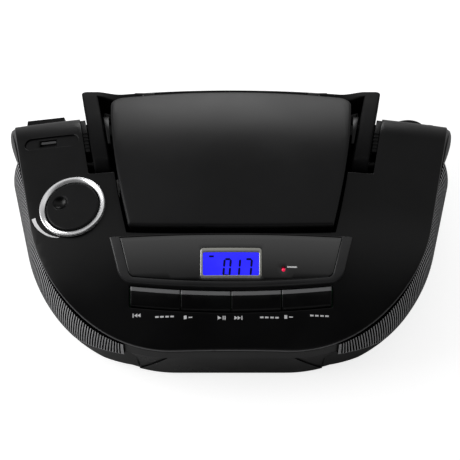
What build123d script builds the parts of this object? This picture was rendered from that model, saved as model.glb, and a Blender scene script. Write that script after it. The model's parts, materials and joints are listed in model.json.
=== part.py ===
"""A portable CD radio with a folding handle, in millimetres.

X runs across the body, Y from the front to the back, Z upward. The origin is under the
middle of the body at the foot of its feet.
"""
from math import cos, radians, sin, tan
import os

from build123d import *

# whole body
body_depth = 219.4
front = -body_depth / 2
rim_height = 55.0
front_flat = 39.0
corner_radius = 104.0
rim_splay = 12.5
lower_splay = 14.5
wall = 2.6
seam = 0.3
foot_height = 2.5
base_inset = 8.0
waist_height = 50.0
wing_back = front + 183.0
lower_back = front + 190.0
ledge_height = 46.0
tail_back = front + 211.0
tail_half_width = 99.0
side_start = corner_radius * (1 - sin(radians(lower_splay)))
side_half = front_flat + corner_radius * cos(radians(lower_splay))
rear_half = side_half + (lower_back - front - side_start) * tan(radians(lower_splay))

# side outline of the upper surface
apron_slope = 36.0
apron_run = 22.0
bend_run = 73.0
top_slope = 3.0
top_run = 60.0
roll_radius = 28.0
crown_axis_height = -610.0
crown_sweep = 36.0

# lid
lid_front = front + 71.5
lid_front_height = 100.5
lid_front_slope = 13.6
lid_radius = 189.0
lid_length = 128.7
lid_thickness = 3.0
lid_front_half = 70.8
lid_middle_half = 83.6
lid_back_half = 90.2
lid_gap = 1.5
lid_bow = 900.0
lid_hinge_back = 0.7
lid_hinge_height = 79.5
hinge_barrel_radius = 2.5
hinge_place = 62.0
hinge_length = 8.0
hinge_pin_radius = 1.2
pin_clearance = 0.08

# disc deck
disc_centre = front + 136.0
well_radius = 62.0
well_floor = 76.0
deck_top = 80.0
tub_wall = 2.0
tub_inset = 1.0
tub_bottom = ledge_height
deck_plate = 2.4
turntable_radius = 15.0
hub_radius = 7.4
spindle_radius = 1.0
motor_radius = 12.0
motor_height = 9.0
rod_spacing = 36.0
rod_radius = 1.5
sled_travel = 34.0
sled_inner = 14.0
sled_length = 20.0
lens_radius = 3.0
drive_wheel_radius = 7.0

# display and keys
bow_radius = 551.0
key_start = 21.0
key_depth = 11.4
key_gap = 0.6
key_row_half = 69.2
key_lift = 1.4
panel_start = 37.7
panel_end = 68.0
panel_half = 69.5
bezel_start = 34.2
bezel_end = 68.8
bezel_half = 76.0
bezel_flare = 0.235
bezel_lift = 2.4
panel_lift = 1.9
display_width = 42.0
display_start = 39.4
display_end = 58.8
display_border = 1.8
lamp_place = (35.8, 45.7)
lamp_radius = 1.5

# volume knob
knob_place = (28.19 - side_half, 95.0)
ring_radius = 23.7
ring_inner = 20.0
knob_radius = 19.2
knob_rise = 3.2
dimple_radius = 6.0
dimple_reach = 9.6
ring_collar = 0.8
pot_radius = 8.5
shaft_radius = 3.0

# USB socket
usb_place = (37.86 - rear_half, 152.0)
usb_recess = (39.5, 9.5, 1.2)
usb_shell = (13.4, 5.9, 14.0)
usb_port_shift = -2.6

# handle
arm_front = front + 124.0
arm_back = front + 212.0
arm_width = 11.7
arm_front_inner = 85.6
arm_splay = 11.0
arm_depth = 18.0
arm_radius = 142.0
arm_front_height = 93.0
arm_front_slope = 5.0
pivot_setback = 9.0
pivot_drop = 9.0
pivot_radius = 2.5
grip_width = 8.5
grip_depth = 19.0
grip_top = 74.0
channel_gap = 4.6
channel_floor = 63.0
channel_wall = 2.0
channel_end_gap = 2.4
ledge_start = front + 141.0
ledge_gap = 0.7
ledge_drop = 1.1

# speakers behind the grilles
speaker_angle = 60.0
speaker_height = 38.0
speaker_opening = 25.0
speaker_frame = 29.0
grille_low = 9.0
grille_middle = 44.0
grille_bulge = 6.5
grille_shift = (5.0, 2.0)
grille_skin = 2.0
grille_back = front + 139.0
grille_end_half = 74.5
grille_lip = (4.0, 39.0)
grille_lip_fall = 0.83

# front trim
strip_top = 51.2
strip_bottom = 41.0
plinth_top = 39.0
plinth_top_half = 42.5
plinth_foot_half = 66.0

# back of the body
tuning_place = (rear_half - 32.66, 40.0)
tuning_radius = 15.0
tuning_length = 7.0
switch_place = (27.16 - rear_half, 52.6)
switch_size = (29.0, 8.0, 7.0)
switch_tilt = 10.0
switch_travel = 10.0
hatch_half = 72.0
hatch_bottom = 7.0
hatch_top = 32.0
hatch_thickness = 2.4
bay_depth = 56.0
aerial_height = 39.6
aerial_side = tail_half_width - 7.0
aerial_line = front + 216.0
aerial_radius = 3.2
aerial_step = 0.65
aerial_length = 150.0
inlet_place = (36.66 - rear_half, 24.0)
jack_place = (rear_half - 50.66, 24.0)
jack_radius = 1.78
jack_depth = 14.0

# fixings
screw_half = ((side_half - 5.7, 128.0), (side_half + 3.3, 162.0), (52.0, 18.0))
screw_post = 4.0
screw_radius = 1.4
screw_head = 2.8
screw_recess = 2.2
screw_split = 40.0
screw_bite = 8.0
foot_half = ((60.0, 34.0), (side_half - 13.7, 150.0))
foot_radius = 8.0
foot_seat = 1.2
hatch_pin = 0.7
turret_shaft = 2.5
jack_body = 4.4
boss_depth = 13.5
deck_bottom = 68.0
switch_seat = 0.8
board_level = 37.4
board_post = 3.0
knob_cup = 2.0
cup_depth = 12.0


def block(x0, x1, y0, y1, z0, z1):
    """Box between two limits along each axis."""
    return Pos((x0 + x1) / 2, (y0 + y1) / 2, (z0 + z1) / 2) * Box(x1 - x0, y1 - y0, z1 - z0)


def bar(radius, start, end):
    """Round bar from one point to another."""
    a, b = Vector(*start), Vector(*end)
    return Plane(a, z_dir=b - a) * extrude(Circle(radius), (b - a).length)


def prism(face, z0, z1):
    """Upright prism over a face drawn at height zero."""
    return extrude(Pos(0, 0, z0) * face, z1 - z0)


def mirrored(shape):
    """The same shape on the other side of the body."""
    return mirror(shape, Plane.YZ)


def crowned(face):
    """Side outline swept from side to side about an axis far below, so its top is crowned."""
    axis = Axis((0, 0, crown_axis_height), (0, 1, 0))
    return revolve(face.rotate(axis, -crown_sweep / 2), axis, crown_sweep)


def body_plan(inset, splay, back, corner=14.0):
    """Outline of the body from above: flat front, round corners, sides that open backward."""
    t = radians(splay)
    r = corner_radius - inset
    centre_y = front + corner_radius
    turn = radians((90 - splay) / 2)
    nose = (front_flat, front + inset)
    middle = (front_flat + r * sin(turn), centre_y - r * cos(turn))
    flank = (front_flat + r * cos(t), centre_y - r * sin(t))
    tip = (flank[0] + (back - inset - flank[1]) * tan(t), back - inset)
    half = [ThreePointArc(nose, middle, flank), Line(flank, tip)]
    other = [mirror(e, Plane.YZ) for e in half]
    ends = [Line((-nose[0], nose[1]), nose), Line((-tip[0], tip[1]), tip)]
    face = make_face(Curve() + half + other + ends)
    return fillet(face.vertices().group_by(Axis.Y)[-1], corner)


def skin(out):
    """Everything under the body's upper surface moved outward by a distance."""
    a, t = radians(apron_slope), radians(top_slope)
    bend = bend_run / (sin(a) - sin(t))
    foot = Vector(front + apron_run, rim_height + apron_run * tan(a))
    centre = foot + Vector(sin(a), -cos(a)) * bend
    crest = centre + Vector(-sin(t), cos(t)) * bend
    brink = crest + Vector(cos(t), sin(t)) * (top_run / cos(t))
    hub = brink + Vector(sin(t), -cos(t)) * roll_radius
    lead = foot - Vector(cos(a), sin(a)) * (apron_run + 40)

    def away(angle, middle, radius):
        return middle + Vector(-sin(angle), cos(angle)) * (radius + out)

    p0 = lead + Vector(-sin(a), cos(a)) * out
    p1, p2 = away(a, centre, bend), away(t, centre, bend)
    pm = away((a + t) / 2, centre, bend)
    p3, p4 = away(t, hub, roll_radius), away(radians(-90), hub, roll_radius)
    pr = away((t - radians(90)) / 2, hub, roll_radius)
    low = 20.0
    edges = [
        Line(p0, p1),
        ThreePointArc(p1, pm, p2),
        Line(p2, p3),
        ThreePointArc(p3, pr, p4),
        Line(p4, (p4.X, -low)),
        Line((p4.X, -low), (p0.X, -low)),
        Line((p0.X, -low), p0),
    ]
    return crowned(Plane.YZ * make_face(Curve() + edges))


def lid_surface(out):
    """Everything under the lid's upper surface moved outward by a distance."""
    a = radians(lid_front_slope)
    centre = (lid_front + lid_radius * sin(a), lid_front_height - lid_radius * cos(a))
    disc = Pos(*centre) * Circle(lid_radius + out)
    window = Pos(centre[0], 150) * Rectangle(230, 300)
    return crowned(Plane.YZ * (disc & window))


def lid_plan(grow):
    """Outline of the lid from above, widening to the back with bowed sides."""
    back = lid_front + lid_length
    middle = lid_front + lid_length / 2
    f, m, b = lid_front_half + grow, lid_middle_half + grow, lid_back_half + grow
    dip = lid_front_half**2 / (2 * lid_bow)
    edges = [
        ThreePointArc((-f, lid_front + dip - grow), (0, lid_front - grow), (f, lid_front + dip - grow)),
        ThreePointArc((f, lid_front + dip - grow), (m, middle), (b, back - dip + grow)),
        ThreePointArc((b, back - dip + grow), (0, back + grow), (-b, back - dip + grow)),
        ThreePointArc((-b, back - dip + grow), (-m, middle), (-f, lid_front + dip - grow)),
    ]
    face = make_face(Curve() + edges)
    return fillet(face.vertices().group_by(Axis.Y)[-1], 9.0)


def bowed_strip(start, end, x0, x1):
    """Part of a strip that runs across the body and bows toward the front."""
    centre = front + key_start + bow_radius
    ring = Circle(centre - front - start) - Circle(centre - front - end)
    window = Pos((x0 + x1) / 2, front + (start + end) / 2) * Rectangle(x1 - x0, 40)
    return (Pos(0, centre) * ring) & window


def flared_plan(start, end, half, grow, corner):
    """Outline of the display area: wider at the back, with round front corners."""
    s, e = front + start - grow, front + end + grow
    near = half + grow
    far = near + (end - start) * bezel_flare
    dip = near**2 / (2 * bow_radius)
    edges = [
        ThreePointArc((-near, s + dip), (0, s), (near, s + dip)),
        Line((near, s + dip), (far, e)),
        Line((far, e), (-far, e)),
        Line((-far, e), (-near, s + dip)),
    ]
    return fillet(make_face(Curve() + edges).vertices().group_by(Axis.Y)[0], corner)


def surface_frame(place):
    """Plane that touches the upper surface near a place on a wing, with its normal outward."""
    x, s = place
    t = radians(top_slope)
    a = radians(apron_slope)
    crest = rim_height + apron_run * tan(a) + bend_run * (cos(t) - cos(a)) / (sin(a) - sin(t))
    height = crest + (s - apron_run - bend_run) * tan(t)
    reach = height - crown_axis_height
    drop = reach - (reach**2 - x**2) ** 0.5
    lean = x / reach
    return Plane((x, front + s, height - drop), x_dir=(1, 0, -lean), z_dir=(lean, -tan(t), 1))


def arm_plan(grow_out, grow_in, start, end):
    """Outline of the left handle arm from above; a positive growth widens a side."""
    k = tan(radians(arm_splay))

    def at(y, side):
        return -(arm_front_inner + (y - arm_front) * k + side)

    return make_face(Polyline(
        (at(start, arm_width + grow_out), start),
        (at(end, arm_width + grow_out), end),
        (at(end, -grow_in), end),
        (at(start, -grow_in), start),
        close=True,
    ))


def arm_band(low, high):
    """Curved band along the handle arm seen from the side, between two depths under its top."""
    a = radians(arm_front_slope)
    centre = (arm_front + arm_radius * sin(a), arm_front_height - arm_radius * cos(a))
    ring = Circle(arm_radius - low) - Circle(arm_radius - high)
    window = Pos(centre[0] + 25, centre[1] + arm_radius) * Rectangle(160, 110)
    return Plane.YZ * ((Pos(*centre) * ring) & window)


def pivot_point():
    """Centre of the handle pivot as Y and Z."""
    a = radians(arm_front_slope)
    y = arm_front + pivot_setback
    return y, arm_front_height + pivot_setback * tan(a) - pivot_drop


def grille_path(level):
    """Line that the grille follows round the left front corner at a height."""
    t = radians(lower_splay)
    dx, dy = grille_shift
    centre = (-(front_flat + dx), front + corner_radius + dy)
    nose = (centre[0], centre[1] - corner_radius)
    turn = radians((90 - lower_splay) / 2)
    middle = (centre[0] - corner_radius * sin(turn), centre[1] - corner_radius * cos(turn))
    flank = (centre[0] - corner_radius * cos(t), centre[1] - corner_radius * sin(t))
    run = grille_back + 12 - flank[1]
    tip = (flank[0] - run * tan(t), flank[1] + run)
    wire = Curve() + [ThreePointArc(nose, middle, flank), Line(flank, tip)]
    return Pos(0, 0, level) * wire


def grille_bulk(inset):
    """Solid band with a bulging outer face that follows the grille line."""
    reach = grille_middle - grille_low
    radius = (reach**2 + grille_bulge**2) / (2 * grille_bulge)
    path = grille_path(grille_middle)
    nose = min([e @ 0 for e in path.edges()] + [e @ 1 for e in path.edges()], key=lambda p: p.Y)
    bulge = 2.0 - inset
    section = (Pos(radius - bulge, 0) * Circle(radius)) & (Pos(7, 0) * Rectangle(18, 2 * reach + 10))
    place = Plane(nose, x_dir=(0, 1, 0), z_dir=(-1, 0, 0))
    return sweep(place * section, path=path, transition=Transition.RIGHT)


def lower_outline_solid(inset, rise=0.0):
    """Body of the lower half: upright above the waist, narrowing below it."""
    upright = prism(body_plan(inset, lower_splay, lower_back), waist_height, 110)
    narrow = loft([
        Pos(0, 0, foot_height + rise) * body_plan(inset + base_inset, lower_splay, lower_back),
        Pos(0, 0, waist_height) * body_plan(inset, lower_splay, lower_back),
    ])
    return upright + narrow


def upper_cabinet():
    """Crowned cover with wings, rim, handle channels and openings."""
    outline = prism(body_plan(0, rim_splay, wing_back + 20), 36, 120)
    shell = (outline & skin(0)) - skin(-wall)
    shell -= block(-200, 200, front + 100, wing_back + 30, 0, waist_height + 10)
    for side in (1, -1):
        shell += channel_liner(side)
    shell -= prism(lid_plan(lid_gap), 40, 130)
    shell -= prism(flared_plan(panel_start, panel_end, panel_half, -3, 3.0), 40, 130)
    shell -= prism(bowed_strip(key_start - key_gap, key_start + key_depth + key_gap,
                               -key_row_half - key_gap, key_row_half + key_gap), 40, 130)
    for side in (1, -1):
        shell -= channel_space(side)
    seat = surface_frame(knob_place)
    shell -= seat * Pos(0, 0, -12) * Cylinder(ring_inner + ring_collar, 40)
    cup = Circle(ring_inner + ring_collar + knob_cup)
    shell += seat * Pos(0, 0, -cup_depth) * extrude(cup - Circle(ring_inner + ring_collar), cup_depth - 1)
    shell += seat * Pos(0, 0, -cup_depth) * extrude(cup - Circle(shaft_radius + 1), knob_cup)
    pad = surface_frame(usb_place)
    length, width, depth = usb_recess
    shell -= pad * Pos(0, 0, -depth) * extrude(SlotOverall(length, width), 10)
    shell += pad * Pos(usb_port_shift, 0, -7) * Box(usb_shell[0] + 4, usb_shell[1] + 4, 10)
    shell -= pad * Pos(usb_port_shift, 0, -8) * Box(usb_shell[0], usb_shell[1], 20)
    for side in (-1, 1):
        shell += key_frame() * Pos(side * (key_row_half + 3.4), 0, -5.4) * Box(4, 12, 8)
    for x, y in screw_places():
        post = bar(screw_post, (x, y, screw_split), (x, y, 120)) & skin(-1.0)
        shell += post - bar(screw_radius, (x, y, 0), (x, y, screw_split + screw_bite))
    return shell


def channel_liner(side):
    """Walls and floor of a handle channel, before the channel is cut out of them."""
    outer = prism(arm_plan(channel_gap + channel_wall, 1.2 + channel_wall,
                           arm_front - channel_end_gap - channel_wall, wing_back - 1.0),
                  channel_floor - channel_wall, 120) & skin(-1.0)
    y, z = pivot_point()
    outer += bar(pivot_radius + 3, (-118, y, z), (-100, y, z)) & skin(-1.0)
    return outer if side < 0 else mirrored(outer)


def channel_space(side):
    """Room in which a handle arm lies, with the bore of its pivot."""
    start = arm_front - channel_end_gap
    room = prism(arm_plan(ledge_gap, 1.2, start, wing_back + 30), channel_floor, 130)
    room += prism(arm_plan(channel_gap, 1.2, start, ledge_start), channel_floor, 130)
    room += prism(arm_plan(channel_gap, 1.2, start, wing_back + 30), channel_floor, 130) - skin(-ledge_drop)
    room += prism(arm_plan(0, 5.0, start, front + 146), channel_floor, 130)
    y, z = pivot_point()
    room += bar(pivot_radius, (-110, y, z), (-90, y, z))
    return room if side < 0 else mirrored(room)


def lower_cabinet():
    """Floor, sides and back of the body, with the tail block that the grip folds behind."""
    top = skin(-wall - seam)
    outer = lower_outline_solid(0.8)
    inner = lower_outline_solid(0.8 + wall, wall)
    roof = waist_height + 10 - seam
    shell = outer & (top + block(-200, 200, front + 170, front + 240, 0, roof))
    shell -= inner
    shell += outer & block(-200, 200, wing_back - 4, front + 240, roof - wall, roof)
    tail = block(-tail_half_width, tail_half_width, lower_back - 14, tail_back, foot_height, ledge_height)
    room = block(-tail_half_width + wall, tail_half_width - wall, lower_back - 40, tail_back - wall,
                 foot_height + wall, ledge_height - wall)
    shell = shell + tail - room
    shell -= prism(lid_plan(lid_gap), ledge_height, 130)
    for side in (1, -1):
        shell += speaker_boss(side) & inner
        shell -= speaker_bore(side)
    for x, y in screw_places():
        shell += bar(screw_post, (x, y, foot_height), (x, y, screw_split - seam))
        shell -= bar(screw_radius + 0.3, (x, y, 0), (x, y, screw_split + 1))
        shell -= bar(screw_head + 0.3, (x, y, 0), (x, y, foot_height + screw_recess))
    for x, y in foot_places():
        shell -= bar(foot_radius, (x, y, 0), (x, y, foot_height + foot_seat))
    for x, y in board_places():
        shell += bar(board_post, (x, y, foot_height + foot_seat), (x, y, board_level))
    shell -= block(-hatch_half - 0.4, hatch_half + 0.4, tail_back - wall - 1, tail_back + 5,
                   hatch_bottom - 0.4, hatch_top + 0.4)
    y, z = hatch_axis()
    shell -= bar(hatch_pin + pin_clearance, (-hatch_half - 2, y, z), (hatch_half + 2, y, z))
    x, z = tuning_place
    for side in (-1, 1):
        shell += bar(2.2, (x + side * 9, lower_back - 9, z + 9), (x + side * 9, lower_back - 2, z + 9))
    shell -= bar(shaft_radius + pin_clearance, (x, lower_back - 12, z), (x, lower_back + 5, z))
    shell -= bar(turret_shaft + pin_clearance, (aerial_side, tail_back - 8, aerial_height),
                 (aerial_side, tail_back + 5, aerial_height))
    x, z = inlet_place
    shell -= block(x - 10, x + 10, lower_back - 12, lower_back + 5, z - 6, z + 6)
    x, z = jack_place
    shell -= bar(jack_body, (x, lower_back - 12, z), (x, lower_back + 5, z))
    x, z = switch_place
    shell -= block(x - 8, x + 8, lower_back - 6, lower_back + 5, z - 1.2, z + 1.2)
    return shell


def screw_places():
    """Places of the case screws as X and Y."""
    return [(side * x, front + y) for side in (-1, 1) for x, y in screw_half]


def foot_places():
    """Places of the four feet as X and Y."""
    return [(side * x, front + y) for side in (-1, 1) for x, y in foot_half]


def board_places():
    """Places of the posts under the main board as X and Y."""
    return [(x, front + y) for x in (-62, 32) for y in (68, 140)]


def hatch_axis():
    """Height and depth of the line about which the battery hatch turns."""
    return tail_back - hatch_thickness / 2, hatch_bottom + hatch_thickness / 2


def speaker_axis(side):
    """Plane at a speaker's place in the side wall, facing outward."""
    a = radians(speaker_angle)
    r = corner_radius - 0.8
    x = side * (front_flat + r * sin(a))
    y = front + corner_radius - r * cos(a)
    return Plane((x, y, speaker_height), z_dir=(side * sin(a), -cos(a), 0))


def speaker_boss(side):
    """Ring behind the side wall on which a speaker is fixed."""
    return speaker_axis(side) * Pos(0, 0, -boss_depth) * extrude(Circle(speaker_frame), boss_depth)


def speaker_bore(side):
    """Opening through the wall and the ring in front of a speaker."""
    place = speaker_axis(side) * Pos(0, 0, -boss_depth - 1)
    return place * extrude(Circle(speaker_opening), boss_depth + 6)


def speaker(side):
    """Frame, cone and magnet of a speaker."""
    place = speaker_axis(side) * Pos(0, 0, -boss_depth)
    frame = Pos(0, 0, -1.4) * extrude(Circle(speaker_frame - 0.5) - Circle(speaker_opening - 1), 1.4)
    seated = (Align.CENTER, Align.CENTER, Align.MIN)
    outer = Pos(0, 0, -13) * Cone(13, speaker_opening + 0.4, 11.6, align=seated)
    inner = Pos(0, 0, -13) * Cone(12, speaker_opening - 0.6, 11.6, align=seated)
    back = Pos(0, 0, -14) * extrude(Circle(13) - Circle(9), 1.0)
    basket = frame + (outer - inner) + back
    cone_out = Pos(0, 0, -11) * Cone(7, speaker_opening - 1.6, 10, align=seated)
    cone_in = Pos(0, 0, -10.2) * Cone(7, speaker_opening - 1.6, 10, align=seated)
    cap = (Pos(0, 0, -13.5) * Sphere(9)) & (Pos(0, 0, -7.5) * Cylinder(7.2, 6))
    surround = Pos(0, 0, -1) * extrude(Circle(speaker_opening - 1) - Circle(speaker_opening - 3.2), 1.2)
    cone = (cone_out - cone_in) + cap + surround
    magnet = Pos(0, 0, -24) * extrude(Circle(15.5), 10)
    return place * basket, place * cone, place * magnet


def grille(side):
    """Bulging grille that covers a speaker and runs to the front strip."""
    band = grille_bulk(0) - grille_bulk(grille_skin)
    lip_y, lip_z = front + grille_lip[0], grille_lip[1]
    keep = skin(-wall - 2 * seam) & block(-200, -grille_end_half, front - 20, grille_back, grille_low, 110)
    slope = make_face(Polyline(
        (lip_y - 30, lip_z + 30 * grille_lip_fall),
        (lip_y + 60, lip_z - 60 * grille_lip_fall),
        (lip_y - 30, lip_z - 60 * grille_lip_fall),
        close=True,
    ))
    keep -= extrude(Plane.YZ * slope, 400, both=True)
    band = (band & keep) - lower_outline_solid(0.8 - 0.05)
    band = band.solids().sort_by(SortBy.VOLUME)[-1]
    return band if side < 0 else mirrored(band)


def front_strip():
    """Narrow band under the rim between the two grilles."""
    band = prism(body_plan(0.1, lower_splay, lower_back), strip_bottom, strip_top)
    band -= lower_outline_solid(0.75)
    reach = grille_end_half - 0.3
    window = block(-reach, reach, front - 5, front + 30, strip_bottom, strip_top)
    return band & window & skin(-wall - 2 * seam)


def front_plinth():
    """Flat plate at the foot of the front, wider at the bottom."""
    shape = make_face(Polyline((-plinth_foot_half, foot_height), (plinth_foot_half, foot_height),
                               (plinth_top_half, plinth_top), (-plinth_top_half, plinth_top), close=True))
    slab = Plane.XZ * Pos(0, 0) * shape
    slab = extrude(slab, 250, both=True) & block(-200, 200, front - 10, front + 60, 0, 60)
    return slab & (lower_outline_solid(0.0) - lower_outline_solid(0.75))


def display_bezel():
    """Raised frame round the display panel."""
    ring = prism(flared_plan(bezel_start, bezel_end, bezel_half, 0, 7.0), 40, 130)
    ring -= prism(flared_plan(panel_start, panel_end, panel_half, 0.15, 3.0), 40, 130)
    return (ring & skin(bezel_lift)) - skin(0)


def display_panel():
    """Glossy panel with openings for the display and the lamp."""
    plate = prism(flared_plan(panel_start, panel_end, panel_half, 0, 3.0), 40, 130) & skin(panel_lift)
    plate -= skin(0)
    plate -= prism(display_plan(0), 40, 130)
    x, s = lamp_place
    return plate - bar(lamp_radius, (x, front + s, 60), (x, front + s, 120))


def display_plan(grow):
    """Outline of the display from above."""
    middle = (display_start + display_end) / 2
    depth = display_end - display_start + 2 * grow
    return Pos(0, front + middle) * Rectangle(display_width + 2 * grow, depth)


def display_frame():
    """Silver frame round the display window."""
    ring = prism(display_plan(0) - display_plan(-display_border), 40, 130)
    return (ring & skin(panel_lift + 0.7)) - skin(0.2)


def display_window():
    """Lit window inside the silver frame."""
    plate = prism(display_plan(-display_border), 40, 130)
    return (plate & skin(panel_lift - 0.2)) - skin(0.2)


def display_module():
    """Board and housing of the display behind the window."""
    plate = prism(display_plan(-2.6), 40, 130)
    return (plate & skin(0.2)) - skin(-5.0)


def power_lamp():
    """Small round lamp flush with the panel."""
    x, s = lamp_place
    rod = bar(lamp_radius, (x, front + s, 60), (x, front + s, 120))
    return (rod & skin(panel_lift + 0.3)) - skin(-3.0)


def key_frame():
    """Plane through the middle of the key row with its normal outward."""
    a = radians(apron_slope)
    y = front + key_start + key_depth / 2
    z = rim_height + (key_start + key_depth / 2) * tan(a)
    return Plane((0, y, z), x_dir=(1, 0, 0), z_dir=(0, -sin(a), cos(a)))


def key(number):
    """One wide rocker key with the rib it rocks on."""
    width = 2 * key_row_half / 4
    x0 = -key_row_half + number * width + key_gap / 2
    plan = bowed_strip(key_start, key_start + key_depth, x0, x0 + width - key_gap)
    cap = (prism(plan, 40, 130) & skin(key_lift)) - skin(-wall - 1.0)
    place = key_frame()
    x = x0 + (width - key_gap) / 2
    rib = place * Pos(x, 0, -4.6) * Box(3.0, key_depth - 3, 4.4)
    rib += place * Pos(x, 0, -6.8) * Rot(90, 0, 0) * Cylinder(1.5, key_depth - 3)
    return cap + rib


def key_board():
    """Board with small push switches under the keys."""
    place = key_frame()
    board = place * Pos(0, 0, -10.2) * Box(2 * key_row_half + 10, 16, 1.6)
    width = 2 * key_row_half / 4
    for number in range(4):
        for end in (-1, 1):
            x = -key_row_half + (number + 0.5) * width + end * width * 0.32
            board += place * Pos(x, 0, -8.6) * Box(5, 5, 2.2)
    return board


def volume_parts():
    """Chrome ring, turning knob with its stem, and the control under it."""
    place = surface_frame(knob_place)
    ring = Pos(0, 0, 0.2) * extrude(Circle(ring_radius) - Circle(ring_inner), 1.8)
    ring = chamfer(ring.edges().group_by(Axis.Z)[-1], 0.9)
    ring += Pos(0, 0, -2.6) * extrude(Circle(ring_inner + ring_collar) - Circle(ring_inner), 3.0)
    cap = Pos(0, 0, -3.0) * extrude(Circle(knob_radius), 3.0 + knob_rise)
    cap = fillet(cap.edges().group_by(Axis.Z)[-1], 1.6)
    a = radians(158)
    cap -= Pos(dimple_reach * cos(a), dimple_reach * sin(a), knob_rise + 3.6) * Sphere(dimple_radius + 0.6)
    cap += Pos(0, 0, -17) * extrude(Circle(shaft_radius), 14.2)
    pot = Pos(0, 0, -cup_depth - 12) * extrude(Circle(pot_radius), 12)
    pot -= Pos(0, 0, -18) * extrude(Circle(shaft_radius + pin_clearance), 20)
    pot += Pos(0, -11, -23) * Box(12, 8, 2)
    return place * ring, place * cap, place * pot


def usb_parts():
    """Metal shell of the USB socket and its light tongue."""
    place = surface_frame(usb_place) * Pos(usb_port_shift, 0, -usb_recess[2] - usb_shell[2])
    width, height, length = usb_shell
    shell = extrude(Rectangle(width, height) - Rectangle(width - 0.8, height - 0.8), length)
    shell += extrude(Rectangle(width, height), 0.8)
    tongue = Pos(0, 0.9, 0.8) * extrude(Rectangle(width - 2.2, 1.9), length - 1.6)
    return place * shell, place * tongue


def cd_lid():
    """Domed lid with two hinge knuckles at the back."""
    plate = (prism(lid_plan(0), 40, 130) & lid_surface(0)) - lid_surface(-lid_thickness)
    y, z = lid_axis()
    for x in (-hinge_place, hinge_place):
        web = block(x - hinge_length / 2, x + hinge_length / 2, y - 7, y, z, z + hinge_barrel_radius)
        barrel = bar(hinge_barrel_radius, (x - hinge_length / 2, y, z), (x + hinge_length / 2, y, z))
        plate += web + barrel
    for x in (-hinge_place, hinge_place):
        plate -= bar(hinge_pin_radius + pin_clearance, (x - hinge_length, y, z), (x + hinge_length, y, z))
        side = x / hinge_place
        inner = x + side * (hinge_length / 2 + 0.001)
        plate -= bar(hinge_barrel_radius + 0.4, (inner, y, z), (inner + side * 7.0, y, z))
    return plate


def lid_axis():
    """Line about which the lid turns, as Y and Z."""
    return lid_front + lid_length + lid_hinge_back, lid_hinge_height


def disc_deck():
    """Tub under the lid with the round disc well."""
    walls = (prism(lid_plan(-tub_inset), tub_bottom, 130) & lid_surface(-lid_thickness - 0.5))
    walls -= prism(lid_plan(-tub_inset - tub_wall), deck_top, 130)
    walls -= prism(lid_plan(-tub_inset - tub_wall), 0, well_floor - deck_plate)
    walls -= block(-100, 100, front + 60, front + 130, 0, deck_bottom)
    walls -= bar(well_radius, (0, disc_centre, well_floor), (0, disc_centre, 130))
    walls -= bar(turntable_radius + 1.0, (0, disc_centre, 0), (0, disc_centre, 130))
    slot = sled_inner + sled_travel + sled_length + 4
    walls -= block(0, slot, disc_centre - 9, disc_centre + 9, 0, 79)
    y, z = lid_axis()
    for side in (-1, 1):
        x = side * hinge_place
        walls -= block(x - hinge_length / 2 - 0.5, x + hinge_length / 2 + 0.5, y - 10, y + 5, z - 3.5, 120)
        x0 = side * (hinge_place + hinge_length / 2 + 0.35)
        x1 = x0 + side * 6.0
        walls += bar(hinge_barrel_radius, (x0, y, z), (x1, y, z))
        walls += block(min(x0, x1), max(x0, x1), y - 5.6, y, z - hinge_barrel_radius, z)
        walls -= bar(hinge_pin_radius, (x0 - side, y, z), (x1 - side, y, z))
    return walls


def hinge_pins():
    """Pins that carry the lid, fast in the deck's knuckles."""
    y, z = lid_axis()
    pins = []
    for side in (-1, 1):
        x0 = side * (hinge_place - hinge_length / 2 + 0.5)
        x1 = side * (hinge_place + hinge_length / 2 + 5.3)
        pins.append(bar(hinge_pin_radius, (x0, y, z), (x1, y, z)))
    return pins


def handle():
    """Two curved arms and the cross grip, in one piece."""
    y, z = pivot_point()
    outline = arm_plan(0, 0, arm_front, arm_back)
    band = extrude(arm_band(0, arm_depth), 130, both=True) & block(-130, 130, y, arm_back, 0, 130)
    nose = bar(pivot_drop, (-130, y, z), (130, y, z))
    arm = prism(outline, 0, 130) & (band + nose)
    arm -= bar(pivot_radius + pin_clearance, (-130, y, z), (0, y, z))
    profile = Pos(arm_back - grip_width / 2, grip_top - grip_depth / 2) * Rectangle(grip_width, grip_depth)
    k = tan(radians(arm_splay))
    inner = arm_front_inner + (arm_back - grip_width - arm_front) * k + 3
    grip = crowned(Plane.YZ * fillet(profile.vertices(), 2.5)) & block(-inner, inner, 0, 200, 0, 130)
    return arm + mirrored(arm) + grip


def handle_pivots():
    """Pins on which the handle swings, fast in the channel walls."""
    y, z = pivot_point()
    pins = []
    for side in (-1, 1):
        start, end = side * 87.6, side * 109.0
        pins.append(bar(pivot_radius, (start, y, z), (end, y, z)))
    return pins


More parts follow.
